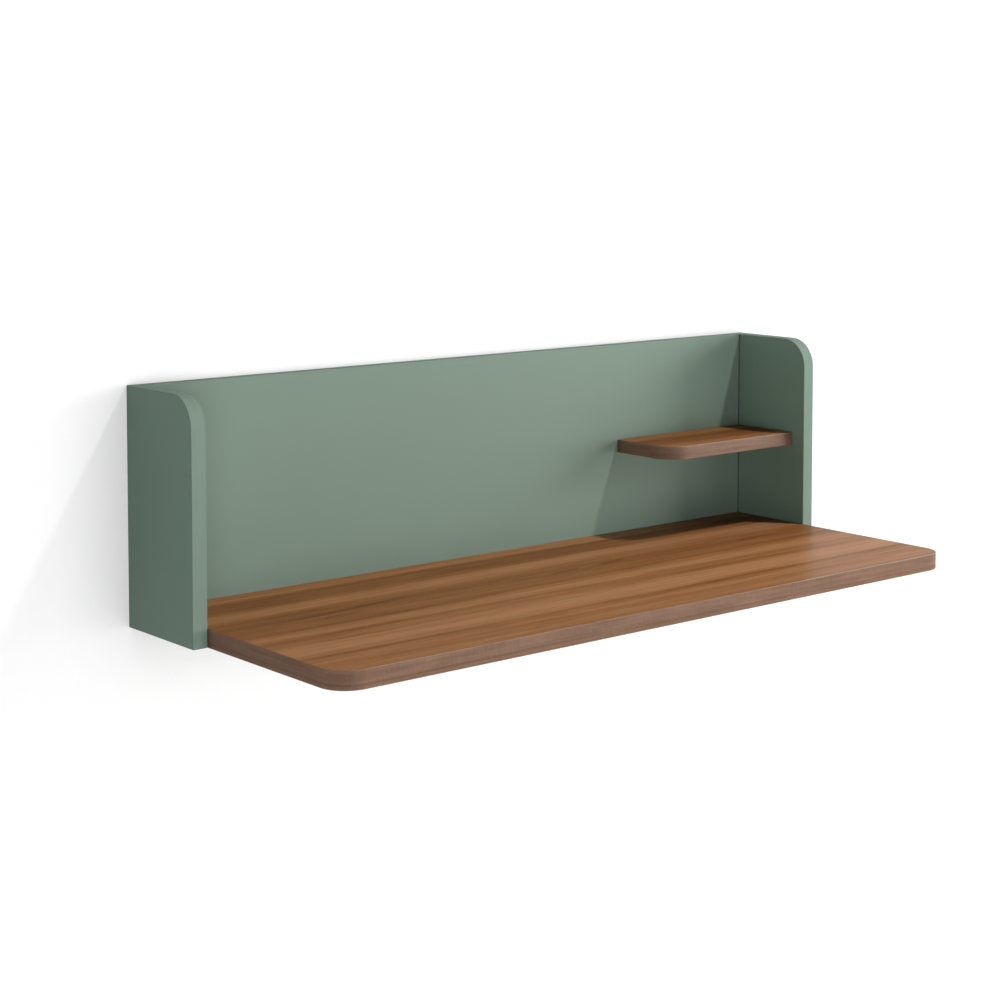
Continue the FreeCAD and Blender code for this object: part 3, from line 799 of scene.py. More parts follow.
@dataclass
class Piece:
    """A mesh on the bench, modelled at the origin along Z in millimetres and then set in its place."""

    item: bpy.types.Object

    NEAR = 0.01 * MM
    WELD_REACH = 0.002 * MM
    SMOOTH_ANGLE = math.radians(32)
    BEND_STEPS, CORNER_STEPS, EDGE_STEPS, EDGE_SHARE = 6, 5, 2, 0.1
    TURN_STEPS, THREAD_FOOT_SHARE, THREAD_CREST_SHARE = 20, 0.8, 0.2

    @classmethod
    def _started(cls, name: str, scale: Sequence[float] = (1.0, 1.0, 1.0)) -> Piece:
        """Take up the object that was just added, with its place, turn and scale in its mesh.

        Args:
            name: the piece's name.
            scale: its scale along X, Y and Z.

        Returns:
            The piece at the origin.
        """
        piece = cls(bpy.context.object)
        piece.item.name = name
        piece.item.scale = scale
        bpy.ops.object.transform_apply(location=True, rotation=True, scale=True)
        return piece

    @classmethod
    def turned(cls, name: str, profile: Profile, sides: int = 40, flute: float = 1.0) -> Piece:
        """Turn a solid by drawing a disc out step by step.

        Args:
            name: the piece's name.
            profile: radius and level of each step along Z, from one end to the other.
            sides: facets round the axis.
            flute: the share of the radius at which every second pair of points stands.

        Returns:
            The closed piece.
        """
        bpy.ops.object.select_all(action="DESELECT")
        radius, level = profile[0]
        place = (0.0, 0.0, level * MM)
        disc = {"vertices": sides, "radius": radius * MM, "fill_type": "NGON"}
        bpy.ops.mesh.primitive_circle_add(location=place, **disc)
        piece = cls._started(name)
        bpy.ops.object.mode_set(mode="EDIT")
        if flute < 1.0:
            piece.select(lambda point: point.index % 4 > 1)
            bpy.ops.transform.resize(value=(flute, flute, 1.0), center_override=place)
            bpy.ops.mesh.select_all(action="SELECT")
        for next_radius, next_level in profile[1:]:
            rise = {"value": (0.0, 0.0, (next_level - level) * MM)}
            bpy.ops.mesh.extrude_region_move(TRANSFORM_OT_translate=rise)
            share = next_radius / radius
            middle = (0.0, 0.0, next_level * MM)
            bpy.ops.transform.resize(value=(share, share, 1.0), center_override=middle)
            radius, level = next_radius, next_level
        piece.close()
        return piece

    @classmethod
    def block(cls, size: Triple, middle: Triple) -> Piece:
        """Make a block to cut with.

        Args:
            size: its length along X, Y and Z.
            middle: its centre.

        Returns:
            The block.
        """
        bpy.ops.object.select_all(action="DESELECT")
        bpy.ops.mesh.primitive_cube_add(size=1.0, location=[part * MM for part in middle])
        return cls._started("block", [part * MM for part in size])

    @classmethod
    def folded(cls, name: str, span: Pair, path: Profile, sheet: float, corner: float) -> Piece:
        """Fold a plate from a strip of sheet.

        Args:
            name: the piece's name.
            span: the strip's two edges along X.
            path: Y and Z of the sheet's middle at its ends and folds, starting with an upright leg.
            sheet: the sheet's thickness, which is also the bends' radius at its middle.
            corner: the radius of the strip's corners.

        Returns:
            The plate with bends, rounded corners and broken edges.
        """
        bpy.ops.object.select_all(action="DESELECT")
        (depth, start), (_, end) = path[:2]
        place = ((span[0] + span[1]) / 2 * MM, depth * MM, (start + end) / 2 * MM)
        size = ((span[1] - span[0]) * MM, abs(end - start) * MM, 1.0)
        bpy.ops.mesh.primitive_plane_add(size=1.0, location=place, rotation=UPRIGHT)
        plate = cls._started(name, size)
        bpy.ops.object.mode_set(mode="EDIT")
        plate.select_at(*path[1])
        for before, after in zip(path[1:], path[2:]):
            step = (0.0, (after[0] - before[0]) * MM, (after[1] - before[1]) * MM)
            bpy.ops.mesh.extrude_region_move(TRANSFORM_OT_translate={"value": step})
        for fold in path[1:-1]:
            plate.select_at(*fold)
            bpy.ops.mesh.bevel(offset=sheet * MM, segments=cls.BEND_STEPS, affect="EDGES")
        for tip in (path[0], path[-1]):
            plate.select_at(*tip)
            bpy.ops.mesh.bevel(offset=corner * MM, segments=cls.CORNER_STEPS, affect="VERTICES")
        plate.close()
        plate.shape("SOLIDIFY", thickness=sheet * MM, offset=0.0, use_even_offset=True)
        edge = cls.EDGE_SHARE * sheet * MM
        plate.shape("BEVEL", width=edge, segments=cls.EDGE_STEPS, limit_method="ANGLE")
        return plate

    def select(self, wanted: Callable[[bmesh.types.BMVert], bool]) -> None:
        """Select the points that pass a test, with the edges and faces between them.

        Args:
            wanted: the test of one point.
        """
        mesh = bmesh.from_edit_mesh(self.item.data)
        mesh.verts.ensure_lookup_table()
        for point in mesh.verts:
            point.select = wanted(point)
        mesh.select_mode = {"VERT"}
        mesh.select_flush_mode()
        bmesh.update_edit_mesh(self.item.data)

    def select_at(self, depth: float, level: float) -> None:
        """Select the points at one Y and Z."""
        place = Vector((depth, level)) * MM
        self.select(lambda point: max(map(abs, point.co.yz - place)) < self.NEAR)

    def close(self) -> None:
        """Turn all faces outwards and leave edit mode."""
        bpy.ops.mesh.select_all(action="SELECT")
        bpy.ops.mesh.normals_make_consistent(inside=False)
        bpy.ops.object.mode_set(mode="OBJECT")

    def shape(self, kind: str, **settings: Any) -> None:
        """Add a modifier and apply it.

        Args:
            kind: the modifier's type.
            settings: its properties.
        """
        modifier = self.item.modifiers.new(kind.lower(), kind)
        for key, value in settings.items():
            setattr(modifier, key, value)
        bpy.context.view_layer.objects.active = self.item
        bpy.ops.object.modifier_apply(modifier=modifier.name)

    def cut(self, tool: Piece) -> None:
        """Cut the shape of a tool out of the piece, and drop the tool.

        Args:
            tool: the shape to cut out.
        """
        self.shape("BOOLEAN", object=tool.item, operation="DIFFERENCE", solver="EXACT")
        self.shape("WELD", merge_threshold=self.WELD_REACH)
        tool.drop()

    def thread(self, core: float, crest: float, pitch: float, top: float, turns: int) -> None:
        """Lay a helical thread round the shank.

        Args:
            core: the radius at its foot, a little inside the shank.
            crest: the radius at its crest.
            pitch: the rise of one turn.
            top: the level of its upper end.
            turns: how many turns it has.
        """
        bpy.ops.object.select_all(action="DESELECT")
        place = ((core + crest) / 2 * MM, 0.0, (top - turns * pitch - pitch / 2) * MM)
        size = ((crest - core) * MM, self.THREAD_FOOT_SHARE * pitch * MM, 1.0)
        bpy.ops.mesh.primitive_plane_add(size=1.0, location=place, rotation=UPRIGHT)
        ridge = Piece._started("ridge", size)
        bpy.ops.object.mode_set(mode="EDIT")
        ridge.select(lambda point: point.co.x > place[0])
        bpy.ops.transform.resize(value=(1.0, 1.0, self.THREAD_CREST_SHARE), center_override=place)
        bpy.ops.mesh.select_all(action="SELECT")
        bpy.ops.mesh.delete(type="ONLY_FACE")
        bpy.ops.object.mode_set(mode="OBJECT")
        steps = {"steps": self.TURN_STEPS, "render_steps": self.TURN_STEPS}
        ridge.shape("SCREW", axis="Z", screw_offset=pitch * MM, iterations=turns, **steps)
        bpy.ops.object.mode_set(mode="EDIT")
        bpy.ops.mesh.select_all(action="SELECT")
        bpy.ops.mesh.fill_holes(sides=0)
        ridge.close()
        self.join([ridge])

    def join(self, others: Sequence[Piece]) -> None:
        """Join other pieces to this one.

        Args:
            others: the pieces to take in.
        """
        bpy.ops.object.select_all(action="DESELECT")
        for piece in (self, *others):
            piece.item.select_set(True)
        bpy.context.view_layer.objects.active = self.item
        bpy.ops.object.join()

    def copy_at(self, place: Vector, out: Vector, side: Vector) -> Piece:
        """Set a copy of the piece in its place.

        Args:
            place: where the piece's origin goes.
            out: the direction of its Z axis.
            side: the direction of its X axis.

        Returns:
            The copy, with its place in its own mesh.
        """
        bpy.ops.object.select_all(action="DESELECT")
        item = bpy.data.objects.new(self.item.name, self.item.data.copy())
        bpy.context.scene.collection.objects.link(item)
        item.select_set(True)
        bpy.context.view_layer.objects.active = item
        turn = Matrix((side, out.cross(side), out)).transposed().to_4x4()
        item.matrix_world = Matrix.Translation(place) @ turn
        return Piece._started(self.item.name)

    def drop(self) -> None:
        """Take the piece off the bench."""
        bpy.data.objects.remove(self.item)

    def install(self, node: str, body: str, material: bpy.types.Material) -> None:
        """Finish the piece and let it stand for a node of the frame.

        Args:
            node: the node that it replaces.
            body: the body that it rides on.
            material: its finish.
        """
        bpy.ops.object.select_all(action="DESELECT")
        self.item.select_set(True)
        bpy.context.view_layer.objects.active = self.item
        bpy.ops.object.shade_smooth_by_angle(angle=self.SMOOTH_ANGLE)
        self.item.name = f"{node}_fitted"
        self.item.data.materials.clear()
        self.item.data.materials.append(material)
        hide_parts(node)
        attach(self.item, body)
        LOG.info("fitted %s with %s", self.item.name, material.name)


def solids(node: str) -> list[Box]:
    """Return the box of each separate solid of a node.

    Args:
        node: the node's name.

    Returns:
        The lowest and highest corner of each solid, in order along X, Y and Z.
    """
    bpy.ops.object.select_all(action="DESELECT")
    copy = bpy.data.objects.new(node, frame["nodes"][node].data.copy())
    bpy.context.scene.collection.objects.link(copy)
    copy.select_set(True)
    bpy.context.view_layer.objects.active = copy
    bpy.ops.object.mode_set(mode="EDIT")
    bpy.ops.mesh.select_all(action="SELECT")
    bpy.ops.mesh.remove_doubles(threshold=0.001 * MM)
    bpy.ops.mesh.separate(type="LOOSE")
    bpy.ops.object.mode_set(mode="OBJECT")
    boxes = []
    for part in list(bpy.context.selected_objects):
        corners = [[point.co[axis.value] for point in part.data.vertices] for axis in Axis]
        boxes.append((Vector(map(min, corners)), Vector(map(max, corners))))
        bpy.data.objects.remove(part)
    return sorted(boxes, key=lambda box: tuple(box[0]))


def size_of(box: Box) -> Vector:
    """Return the size of a box, in millimetres."""
    return (box[1] - box[0]) / MM


def end_of(box: Box, out: Vector) -> Vector:
    """Return the middle of the end of a box that faces a direction.

    Args:
        box: the box of a solid.
        out: the direction, or a zero vector for the middle of the box.

    Returns:
        The middle of that face of the box.
    """
    middle = (box[0] + box[1]) / 2
    half = (box[1] - box[0]) / 2
    return middle + Vector(o * h for o, h in zip(out, half))


def towards_side(box: Box) -> Vector:
    """Return the direction from a solid to the nearer side panel."""
    return RIGHT if box[0].x > 0.0 else -RIGHT


def fit(
    node: str,
    model: Callable[[Vector], Piece],
    stance: Callable[[Box], Stance],
    material: bpy.types.Material,
) -> None:
    """Model one piece of a node and set copies of it in the places of the node's solids.

    Args:
        node: the node that they replace.
        model: makes the piece for a solid's size in millimetres.
        stance: gives a copy's place, outward direction and side direction for its solid's box.
        material: their finish.
    """
    boxes = solids(node)
    master = model(size_of(boxes[0]))
    copies = [master.copy_at(*stance(box)) for box in boxes]
    master.drop()
    copies[0].join(copies[1:])
    copies[0].install(node, "desk", material)


def rim(radius: float, steps: Profile) -> list[Pair]:
    """Return the end of a turned profile whose face is at Z = 0.

    Args:
        radius: the radius of the piece.
        steps: how far in from the radius and how deep under the face each step lies.

    Returns:
        The radius and level of each step.
    """
    return [(radius - inset, -depth) for inset, depth in steps]


def cross_recess(piece: Piece, size: Triple) -> None:
    """Cut a cross recess into the face at Z = 0.

    Args:
        piece: the piece to cut.
        size: length, width and depth of each slot.
    """
    length, width, depth = size
    for across in ((length, width), (width, length)):
        piece.cut(Piece.block((*across, 2 * depth), (0.0, 0.0, 0.0)))


@dataclass(frozen=True)
class LongScrew:
    """Flat-headed connecting screw with a hexagon socket, in millimetres.

    Attributes:
        head_height, head_chamfer: the height of the head, and the chamfer under it.
        face: the steps of the head's edge, as rim takes them.
        shank, neck: the radius and length of the plain shank.
        taper: the length of the taper from the shank to the thread's core.
        core: the radius of the thread's core.
        tip, tip_radius: the length of the point, and the radius of its end.
        pitch, turns: the rise of one turn of the thread, and how many turns it has.
        thread_root: how far the thread's foot is let into the core.
        socket, socket_depth: the radius of the socket over its corners, and the depth of its straight part.
        socket_floor: the radius of the socket's flat floor, and the depth of the cone above it.
    """

    head_height: float = 4.0
    head_chamfer: float = 0.5
    face: Profile = ((0.0, 0.6), (0.2, 0.2), (0.6, 0.0))
    shank: float = 3.25
    neck: float = 11.0
    taper: float = 1.0
    core: float = 2.4
    tip: float = 5.0
    tip_radius: float = 0.4
    pitch: float = 3.2
    turns: int = 10
    thread_root: float = 0.3
    socket: float = 2.3
    socket_depth: float = 2.6
    socket_floor: Pair = (0.6, 0.5)

    def model(self, head: float, length: float) -> Piece:
        """Turn the screw, cut its socket and thread it, with its head's face at Z = 0.

        Args:
            head: the head's radius.
            length: the whole length.

        Returns:
            The screw.
        """
        collar = -self.head_height - self.neck
        screw = Piece.turned("long_screw", [
            (self.tip_radius, -length),
            (self.core, self.tip - length),
            (self.core, collar - self.taper),
            (self.shank, collar),
            (self.shank, -self.head_height),
            (head - self.head_chamfer, -self.head_height),
            (head, self.head_chamfer - self.head_height),
            *rim(head, self.face),
        ])
        floor_radius, floor_depth = self.socket_floor
        screw.cut(Piece.turned("socket", [
            (floor_radius, -self.socket_depth - floor_depth),
            (self.socket, -self.socket_depth),
            (self.socket, OVERRUN),
        ], sides=6))
        screw.thread(self.core - self.thread_root, self.shank, self.pitch, collar, self.turns)
        return screw


@dataclass(frozen=True)
class HookScrew:
    """Countersunk chipboard screw with a cross recess, in millimetres.

    Attributes:
        head_height: the height of the head.
        face: the steps of the head's edge, as rim takes them.
        shank, shank_room: the outer radius of the thread, and how much narrower the neck under the head is.
        taper: the length of the taper from the neck to the thread's core.
        core: the radius of the thread's core.
        tip, tip_radius: the length of the point, and the radius of its end.
        pitch, turns: the rise of one turn of the thread, and how many turns it has.
        thread_root: how far the thread's foot is let into the core.
        thread_rise: how far above the head's foot the thread's upper end lies.
        recess: the length, width and depth of each slot of the cross.
    """

    head_height: float = 1.6
    face: Profile = ((0.1, 0.35), (0.1, 0.1), (0.35, 0.0))
    shank: float = 2.0
    shank_room: float = 0.1
    taper: float = 0.4
    core: float = 1.25
    tip: float = 2.0
    tip_radius: float = 0.25
    pitch: float = 1.4
    turns: int = 4
    thread_root: float = 0.2
    thread_rise: float = 0.6
    recess: Triple = (3.4, 0.7, 1.2)

    def model(self, head: float, length: float) -> Piece:
        """Turn the screw, cut its recess and thread it, with its head's face at Z = 0.

        Args:
            head: the head's radius.
            length: the whole length.

        Returns:
            The screw.
        """
        screw = Piece.turned("hook_screw", [
            (self.tip_radius, -length),
            (self.core, self.tip - length),
            (self.core, -self.head_height - self.taper),
            (self.shank - self.shank_room, -self.head_height),
            *rim(head, self.face),
        ], sides=32)
        cross_recess(screw, self.recess)
        top = self.thread_rise - self.head_height
        screw.thread(self.core - self.thread_root, self.shank, self.pitch, top, self.turns)
        return screw


@dataclass(frozen=True)
class CamBolt:
    """Bolt that screws into a side panel and is drawn in by a cam, in millimetres.

    Attributes:
        thread_core, thread_radius: the radius of the thread at its core and at its crest.
        thread_length: how far the thread goes into the side panel.
        thread_root: how far the thread's foot is let into the core.
        tip, tip_radius: the length of the point, and the radius of its end.
        pitch, turns: the rise of one turn of the thread, and how many turns it has.
        shaft_end: how far from the side panel the shaft ends and the neck starts.
        shoulder: the chamfer of the shaft beside the side panel.
        taper: the length of the taper from the shaft to the neck.
        neck: the radius of the neck that the cam grips.
        head_height, head_chamfer: the height of the head, and the chamfer under it.
        face: the steps of the head's edge, as rim takes them.
        recess: the length, width and depth of each slot of the cross.
    """

    thread_core: float = 1.9
    thread_radius: float = 2.5
    thread_length: float = 11.0
    thread_root: float = 0.2
    tip: float = 1.0
    tip_radius: float = 1.2
    pitch: float = 1.5
    turns: int = 6
    shaft_end: float = 15.5
    shoulder: float = 0.3
    taper: float = 0.5
    neck: float = 2.25
    head_height: float = 4.0
    head_chamfer: float = 0.4
    face: Profile = ((0.0, 0.9), (0.3, 0.3), (0.9, 0.0))
    recess: Triple = (3.2, 0.7, 1.0)

    def model(self, head: float, length: float) -> Piece:
        """Turn the bolt, cut its recess and thread it, with its head's face at Z = 0.

        Args:
            head: the radius of the head and shaft.
            length: the whole length.

        Returns:
            The bolt.
        """
        joint = self.thread_length - length
        shaft = joint + self.shaft_end
        bolt = Piece.turned("cam_bolt", [
            (self.tip_radius, -length),
            (self.thread_core, self.tip - length),
            (self.thread_core, joint),
            (head - self.shoulder, joint),
            (head, joint + self.shoulder),
            (head, shaft - self.taper),
            (self.neck, shaft),
            (self.neck, -self.head_height),
            (head - self.head_chamfer, -self.head_height),
            (head, self.head_chamfer - self.head_height),
            *rim(head, self.face),
        ])
        cross_recess(bolt, self.recess)
        bolt.thread(self.thread_core - self.thread_root, self.thread_radius, self.pitch, joint, self.turns)
        return bolt


@dataclass(frozen=True)
class CamLock:
    """Cast cam drum with a grooved rim, a cross recess and a window for its bolt, in millimetres.

    Attributes:
        foot_chamfer: the chamfer round the drum's foot.
        face: the steps of its grooved rim, as rim takes them.
        recess: the length, width and depth of each slot of the cross.
        window: the radius of the hole for the bolt's head.
        slot_width, slot_height: the size of the squared slot along the hole, from the middle to the window.
        bolt_level: the height of the bolt's axis above the foot.
    """

    foot_chamfer: float = 0.6
    face: Profile = ((0.0, 2.2), (0.5, 1.8), (0.5, 1.3), (0.0, 0.9), (0.0, 0.4), (0.4, 0.0))
    recess: Triple = (9.0, 1.6, 2.2)
    window: float = 3.9
    slot_width: float = 6.0
    slot_height: float = 7.0
    bolt_level: float = 5.0

    def model(self, radius: float, height: float) -> Piece:
        """Turn the drum and cut its recess and window, with its face at Z = 0 and its window towards X.

        Args:
            radius: the drum's radius.
            height: its whole height.

        Returns:
            The cam.
        """
        cam = Piece.turned("cam_lock", [
            (radius - self.foot_chamfer, -height),
            (radius, self.foot_chamfer - height),
            *rim(radius, self.face),
        ], sides=56)
        cross_recess(cam, self.recess)
        reach = radius + OVERRUN
        level = self.bolt_level - height
        hole = Piece.turned("bolt_hole", [(self.window, -self.window), (self.window, reach)], sides=32)
        cam.cut(hole.copy_at(UP * level * MM, RIGHT, BACK))
        hole.drop()
        cam.cut(Piece.block((reach, self.slot_width, self.slot_height), (reach / 2, 0.0, level)))
        return cam


@dataclass(frozen=True)
class CamCap:
    """Press-in cover cap with a soft edge and a shallow ring, in millimetres.

    Attributes:
        foot_inset, foot_height: how far in the foot starts, and the height over which it widens.
        draft: how much narrower the cap is above its foot than at its face.
        face: the steps of the face's edge, as rim takes them.
        ring_inside, ring_outside: the radii of the ring in the face.
        ring_depth, ring_slope: the depth of the ring, and how far its flanks slope.
    """

    foot_inset: float = 0.5
    foot_height: float = 0.4
    draft: float = 0.1
    face: Profile = ((0.0, 0.35), (0.12, 0.12), (0.35, 0.0))
    ring_inside: float = 5.2
    ring_outside: float = 5.6
    ring_depth: float = 0.18
    ring_slope: float = 0.1

    def model(self, radius: float, height: float) -> Piece:
        """Turn the cap, with its face at Z = 0.

        Args:
            radius: the cap's radius.
            height: its whole height.

        Returns:
            The cap.
        """
        return Piece.turned("cam_cap", [
            (radius - self.foot_inset, -height),
            (radius - self.draft, self.foot_height - height),
            *rim(radius, self.face),
            (self.ring_outside, 0.0),
            (self.ring_outside - self.ring_slope, -self.ring_depth),
            (self.ring_inside + self.ring_slope, -self.ring_depth),
            (self.ring_inside, 0.0),
        ], sides=56)


@dataclass(frozen=True)
class Dowel:
    """Fluted wooden dowel with chamfered ends, in millimetres.

    Attributes:
        chamfer: the chamfer of its ends.
        flute: the share of the radius at which the flutes' floors lie.
    """

    chamfer: float = 1.0
    flute: float = 0.93

    def model(self, radius: float, length: float) -> Piece:
        """Draw the dowel out, with its middle at the origin.

        Args:
            radius: the dowel's radius.
            length: its whole length.

        Returns:
            The dowel.
        """
        half = length / 2
        return Piece.turned("dowel", [
            (radius - self.chamfer, -half),
            (radius, self.chamfer - half),
            (radius, half - self.chamfer),
            (radius - self.chamfer, half),
        ], sides=64, flute=self.flute)


@dataclass
class PanelJoints:
    """Cams, bolts, caps and dowels that hold the boards together.

    Attributes:
        steel, zinc, plastic: the finishes of the bolts, the cams and the caps.
        cam, bolt, cap, dowel: the kinds of fastener.
    """

    steel: Metal = Metal("plated_bolt_steel", (0.57, 0.58, 0.60), 0.44, 0.01 * MM)
    zinc: Metal = Metal("die_cast_zinc", (0.48, 0.49, 0.505), 0.56, 0.02 * MM)
    plastic: CapPlastic = CapPlastic()
    cam: CamLock = CamLock()
    bolt: CamBolt = CamBolt()
    cap: CamCap = CamCap()
    dowel: Dowel = Dowel()

    def build(self) -> None:
        """Model the fasteners and set them in their bores."""
        zinc = self.zinc.material()
        steel = self.steel.material()
        for board, out in (("back_panel", BACK), ("desktop", -UP)):
            self._cams(f"{board}_cam_locks", out, zinc)
            self._bolts(f"{board}_cam_bolts", steel)
        self._caps("desktop_cam_caps", self.plastic.material())
        sideways = Beech("beech_sideways", Axis.X).material()
        for node in ("back_panel_dowels", "desktop_end_dowels", "shelf_side_dowels"):
            self._dowels(node, RIGHT, sideways)
        inwards = Beech("beech_inwards", Axis.Y).material()
        for node in ("desktop_rear_dowels", "shelf_rear_dowel"):
            self._dowels(node, BACK, inwards)

    def _cams(self, node: str, out: Vector, material: bpy.types.Material) -> None:
        """Fit the cams of one board, with their windows towards the side panels.

        Args:
            node: the node that they replace.
            out: the direction of their faces.
            material: their finish.
        """
        fit(
            node,
            lambda size: self.cam.model(size.x / 2, abs(size.dot(out))),
            lambda box: (end_of(box, out), out, towards_side(box)),
            material,
        )

    def _bolts(self, node: str, material: bpy.types.Material) -> None:
        """Fit the bolts of one board, with their heads away from the side panels.

        Args:
            node: the node that they replace.
            material: their finish.
        """
        fit(
            node,
            lambda size: self.bolt.model(size.z / 2, size.x),
            lambda box: (end_of(box, -towards_side(box)), -towards_side(box), UP),
            material,
        )

    def _caps(self, node: str, material: bpy.types.Material) -> None:
        """Fit the cover caps under the desktop.

        Args:
            node: the node that they replace.
            material: their finish.
        """
        fit(
            node,
            lambda size: self.cap.model(size.x / 2, size.z),
            lambda box: (end_of(box, -UP), -UP, RIGHT),
            material,
        )

    def _dowels(self, node: str, along: Vector, material: bpy.types.Material) -> None:
        """Fit the dowels of one joint.

        Args:
            node: the node that they replace.
            along: the direction of their length.
            material: their finish.
        """
        fit(
            node,
            lambda size: self.dowel.model(size.z / 2, abs(size.dot(along))),
            lambda box: (end_of(box, Vector()), along, UP),
            material,
        )


def drive(node: str, screw: Union[LongScrew, HookScrew], material: bpy.types.Material) -> None:
    """Fit the screws of a node from behind.

    Args:
        node: the node that they replace.
        screw: the kind of screw.
        material: their finish.
    """
    fit(
        node,
        lambda size: screw.model(size.x / 2, size.y),
        lambda box: (end_of(box, BACK), BACK, UP),
        material,
    )


@dataclass
class RearScrews:
    """Long screws through the back panel into the desktop and the shelf.

    Attributes:
        steel: the finish of the screws.
        screw: the kind of screw.
    """

    steel: Metal = Metal("plated_screw_steel", (0.57, 0.58, 0.60), 0.44, 0.01 * MM)
    screw: LongScrew = LongScrew()

    def build(self) -> None:
        """Model the screw and set its copies in their counterbores."""
        steel = self.steel.material()
        for node in ("desktop_rear_screws", "shelf_rear_screws"):
            drive(node, self.screw, steel)


@dataclass
class Hangers:
    """Hook plates in the back panel, their screws, and the wall plates that they hang on.

    Attributes:
        steel: the finish of the plates.
        screw_steel: the finish of the screws.
        screw: the kind of screw.
        sheet: the thickness of the plates in millimetres, as the following sizes are.
        corner: the radius of their corners.
        wall_lip: the height of a wall plate's lip.
        hook_base: the height of a hook plate's base.
        hole_chamfer: the chamfer of a plain hole.
        screw_room: how much wider than the screw's shank its hole is.
        head_room: how much wider than the screw's head its countersink is.
    """

    steel: Metal = Metal("plated_sheet_steel", (0.54, 0.555, 0.57), 0.50, 0.012 * MM)
    screw_steel: Metal = Metal("plated_hook_screw_steel", (0.58, 0.58, 0.57), 0.42, 0.008 * MM)
    screw: HookScrew = HookScrew()
    sheet: float = 2.0
    corner: float = 3.0
    wall_lip: float = 12.0
    hook_base: float = 30.0
    hole_chamfer: float = 0.3
    screw_room: float = 0.25
    head_room: float = 0.1

    def build(self) -> None:
        """Fold and drill the plates, and drive the screws."""
        steel = self.steel.material()
        screws = solids("hook_plate_screws")
        for side in ("left", "right"):
            self._wall_plate(f"{side}_wall_plate", steel)
            self._hook_plate(f"{side}_hook_plate", screws, steel)
        drive("hook_plate_screws", self.screw, self.screw_steel.material())

    def _wall_plate(self, node: str, material: bpy.types.Material) -> None:
        """Fold a wall plate with its lip upwards, and drill it for the wall screws.

        Args:
            node: the node that it replaces.
            material: its finish.
        """
        low, high = (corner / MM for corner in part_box(node))
        half = self.sheet / 2
        step = high.z - self.wall_lip - half
        path = [(high.y - half, low.z), (high.y - half, step), (low.y + half, step), (low.y + half, high.z)]
        plate = Piece.folded(node, (low.x, high.x), path, self.sheet, self.corner)
        holes = frame["record"]["mounts"][0]["dims"]
        radius, half_pitch = holes["hole_r_mm"], holes["spacing_y_mm"] / 2
        for level in (-half_pitch, half_pitch):
            self._drill(plate, ((low.x + high.x) / 2, high.y, level), radius, radius + self.hole_chamfer)
        plate.install(node, "wall_plates", material)

    def _hook_plate(self, node: str, screws: Sequence[Box], material: bpy.types.Material) -> None:
        """Fold a hook plate with its lip downwards, and countersink it for its screws.

        Args:
            node: the node that it replaces.
            screws: the boxes of all hook screws.
            material: its finish.
        """
        low, high = (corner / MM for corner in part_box(node))
        half = self.sheet / 2
        step = high.z - self.hook_base - half
        path = [(low.y + half, high.z), (low.y + half, step), (high.y - half, step), (high.y - half, low.z)]
        plate = Piece.folded(node, (low.x, high.x), path, self.sheet, self.corner)
        for box in screws:
            place = end_of(box, BACK) / MM
            if low.x < place.x < high.x:
                mouth = (place.x, low.y + self.sheet, place.z)
                head = size_of(box).x / 2
                self._drill(plate, mouth, self.screw.shank + self.screw_room, head + self.head_room)
        plate.install(node, "desk", material)

    def _drill(self, plate: Piece, place: Triple, hole: float, sink: float) -> None:
        """Drill a hole from the wall's side and chamfer or countersink it.

        Args:
            plate: the plate to drill.
            place: where the hole's axis meets the plate's rear face, in millimetres.
            hole: the hole's radius.
            sink: the radius of its chamfer or countersink at the face.
        """
        drill = Piece.turned("drill", [
            (hole, -2 * self.sheet),
            (hole, hole - sink),
            (sink, 0.0),
            (sink, self.sheet),
        ])
        plate.cut(drill.copy_at(Vector(place) * MM, BACK, RIGHT))
        drill.drop()


@dataclass(frozen=True)
class SoftLight:
    """One area light of the studio.

    Attributes:
        name: the light's name.
        place: where it stands.
        size: its width and height.
        power: its power in watts.
        aim: the point that it faces.
        spread: the angle of its beam in degrees.
    """

    name: str
    place: Triple
    size: Pair
    power: float
    aim: Triple = (0.0, -0.2, -0.05)
    spread: float = 180.0

    def build(self) -> None:
        """Add the light to the scene."""
        lamp = bpy.data.lights.new(self.name, "AREA")
        lamp.shape = "RECTANGLE"
        lamp.size, lamp.size_y = self.size
        lamp.energy = self.power
        lamp.spread = math.radians(self.spread)
        item = bpy.data.objects.new(self.name, lamp)
        bpy.context.scene.collection.objects.link(item)
        item.location = self.place
        item.rotation_euler = (Vector(self.aim) - Vector(self.place)).to_track_quat("-Z", "Y").to_euler()


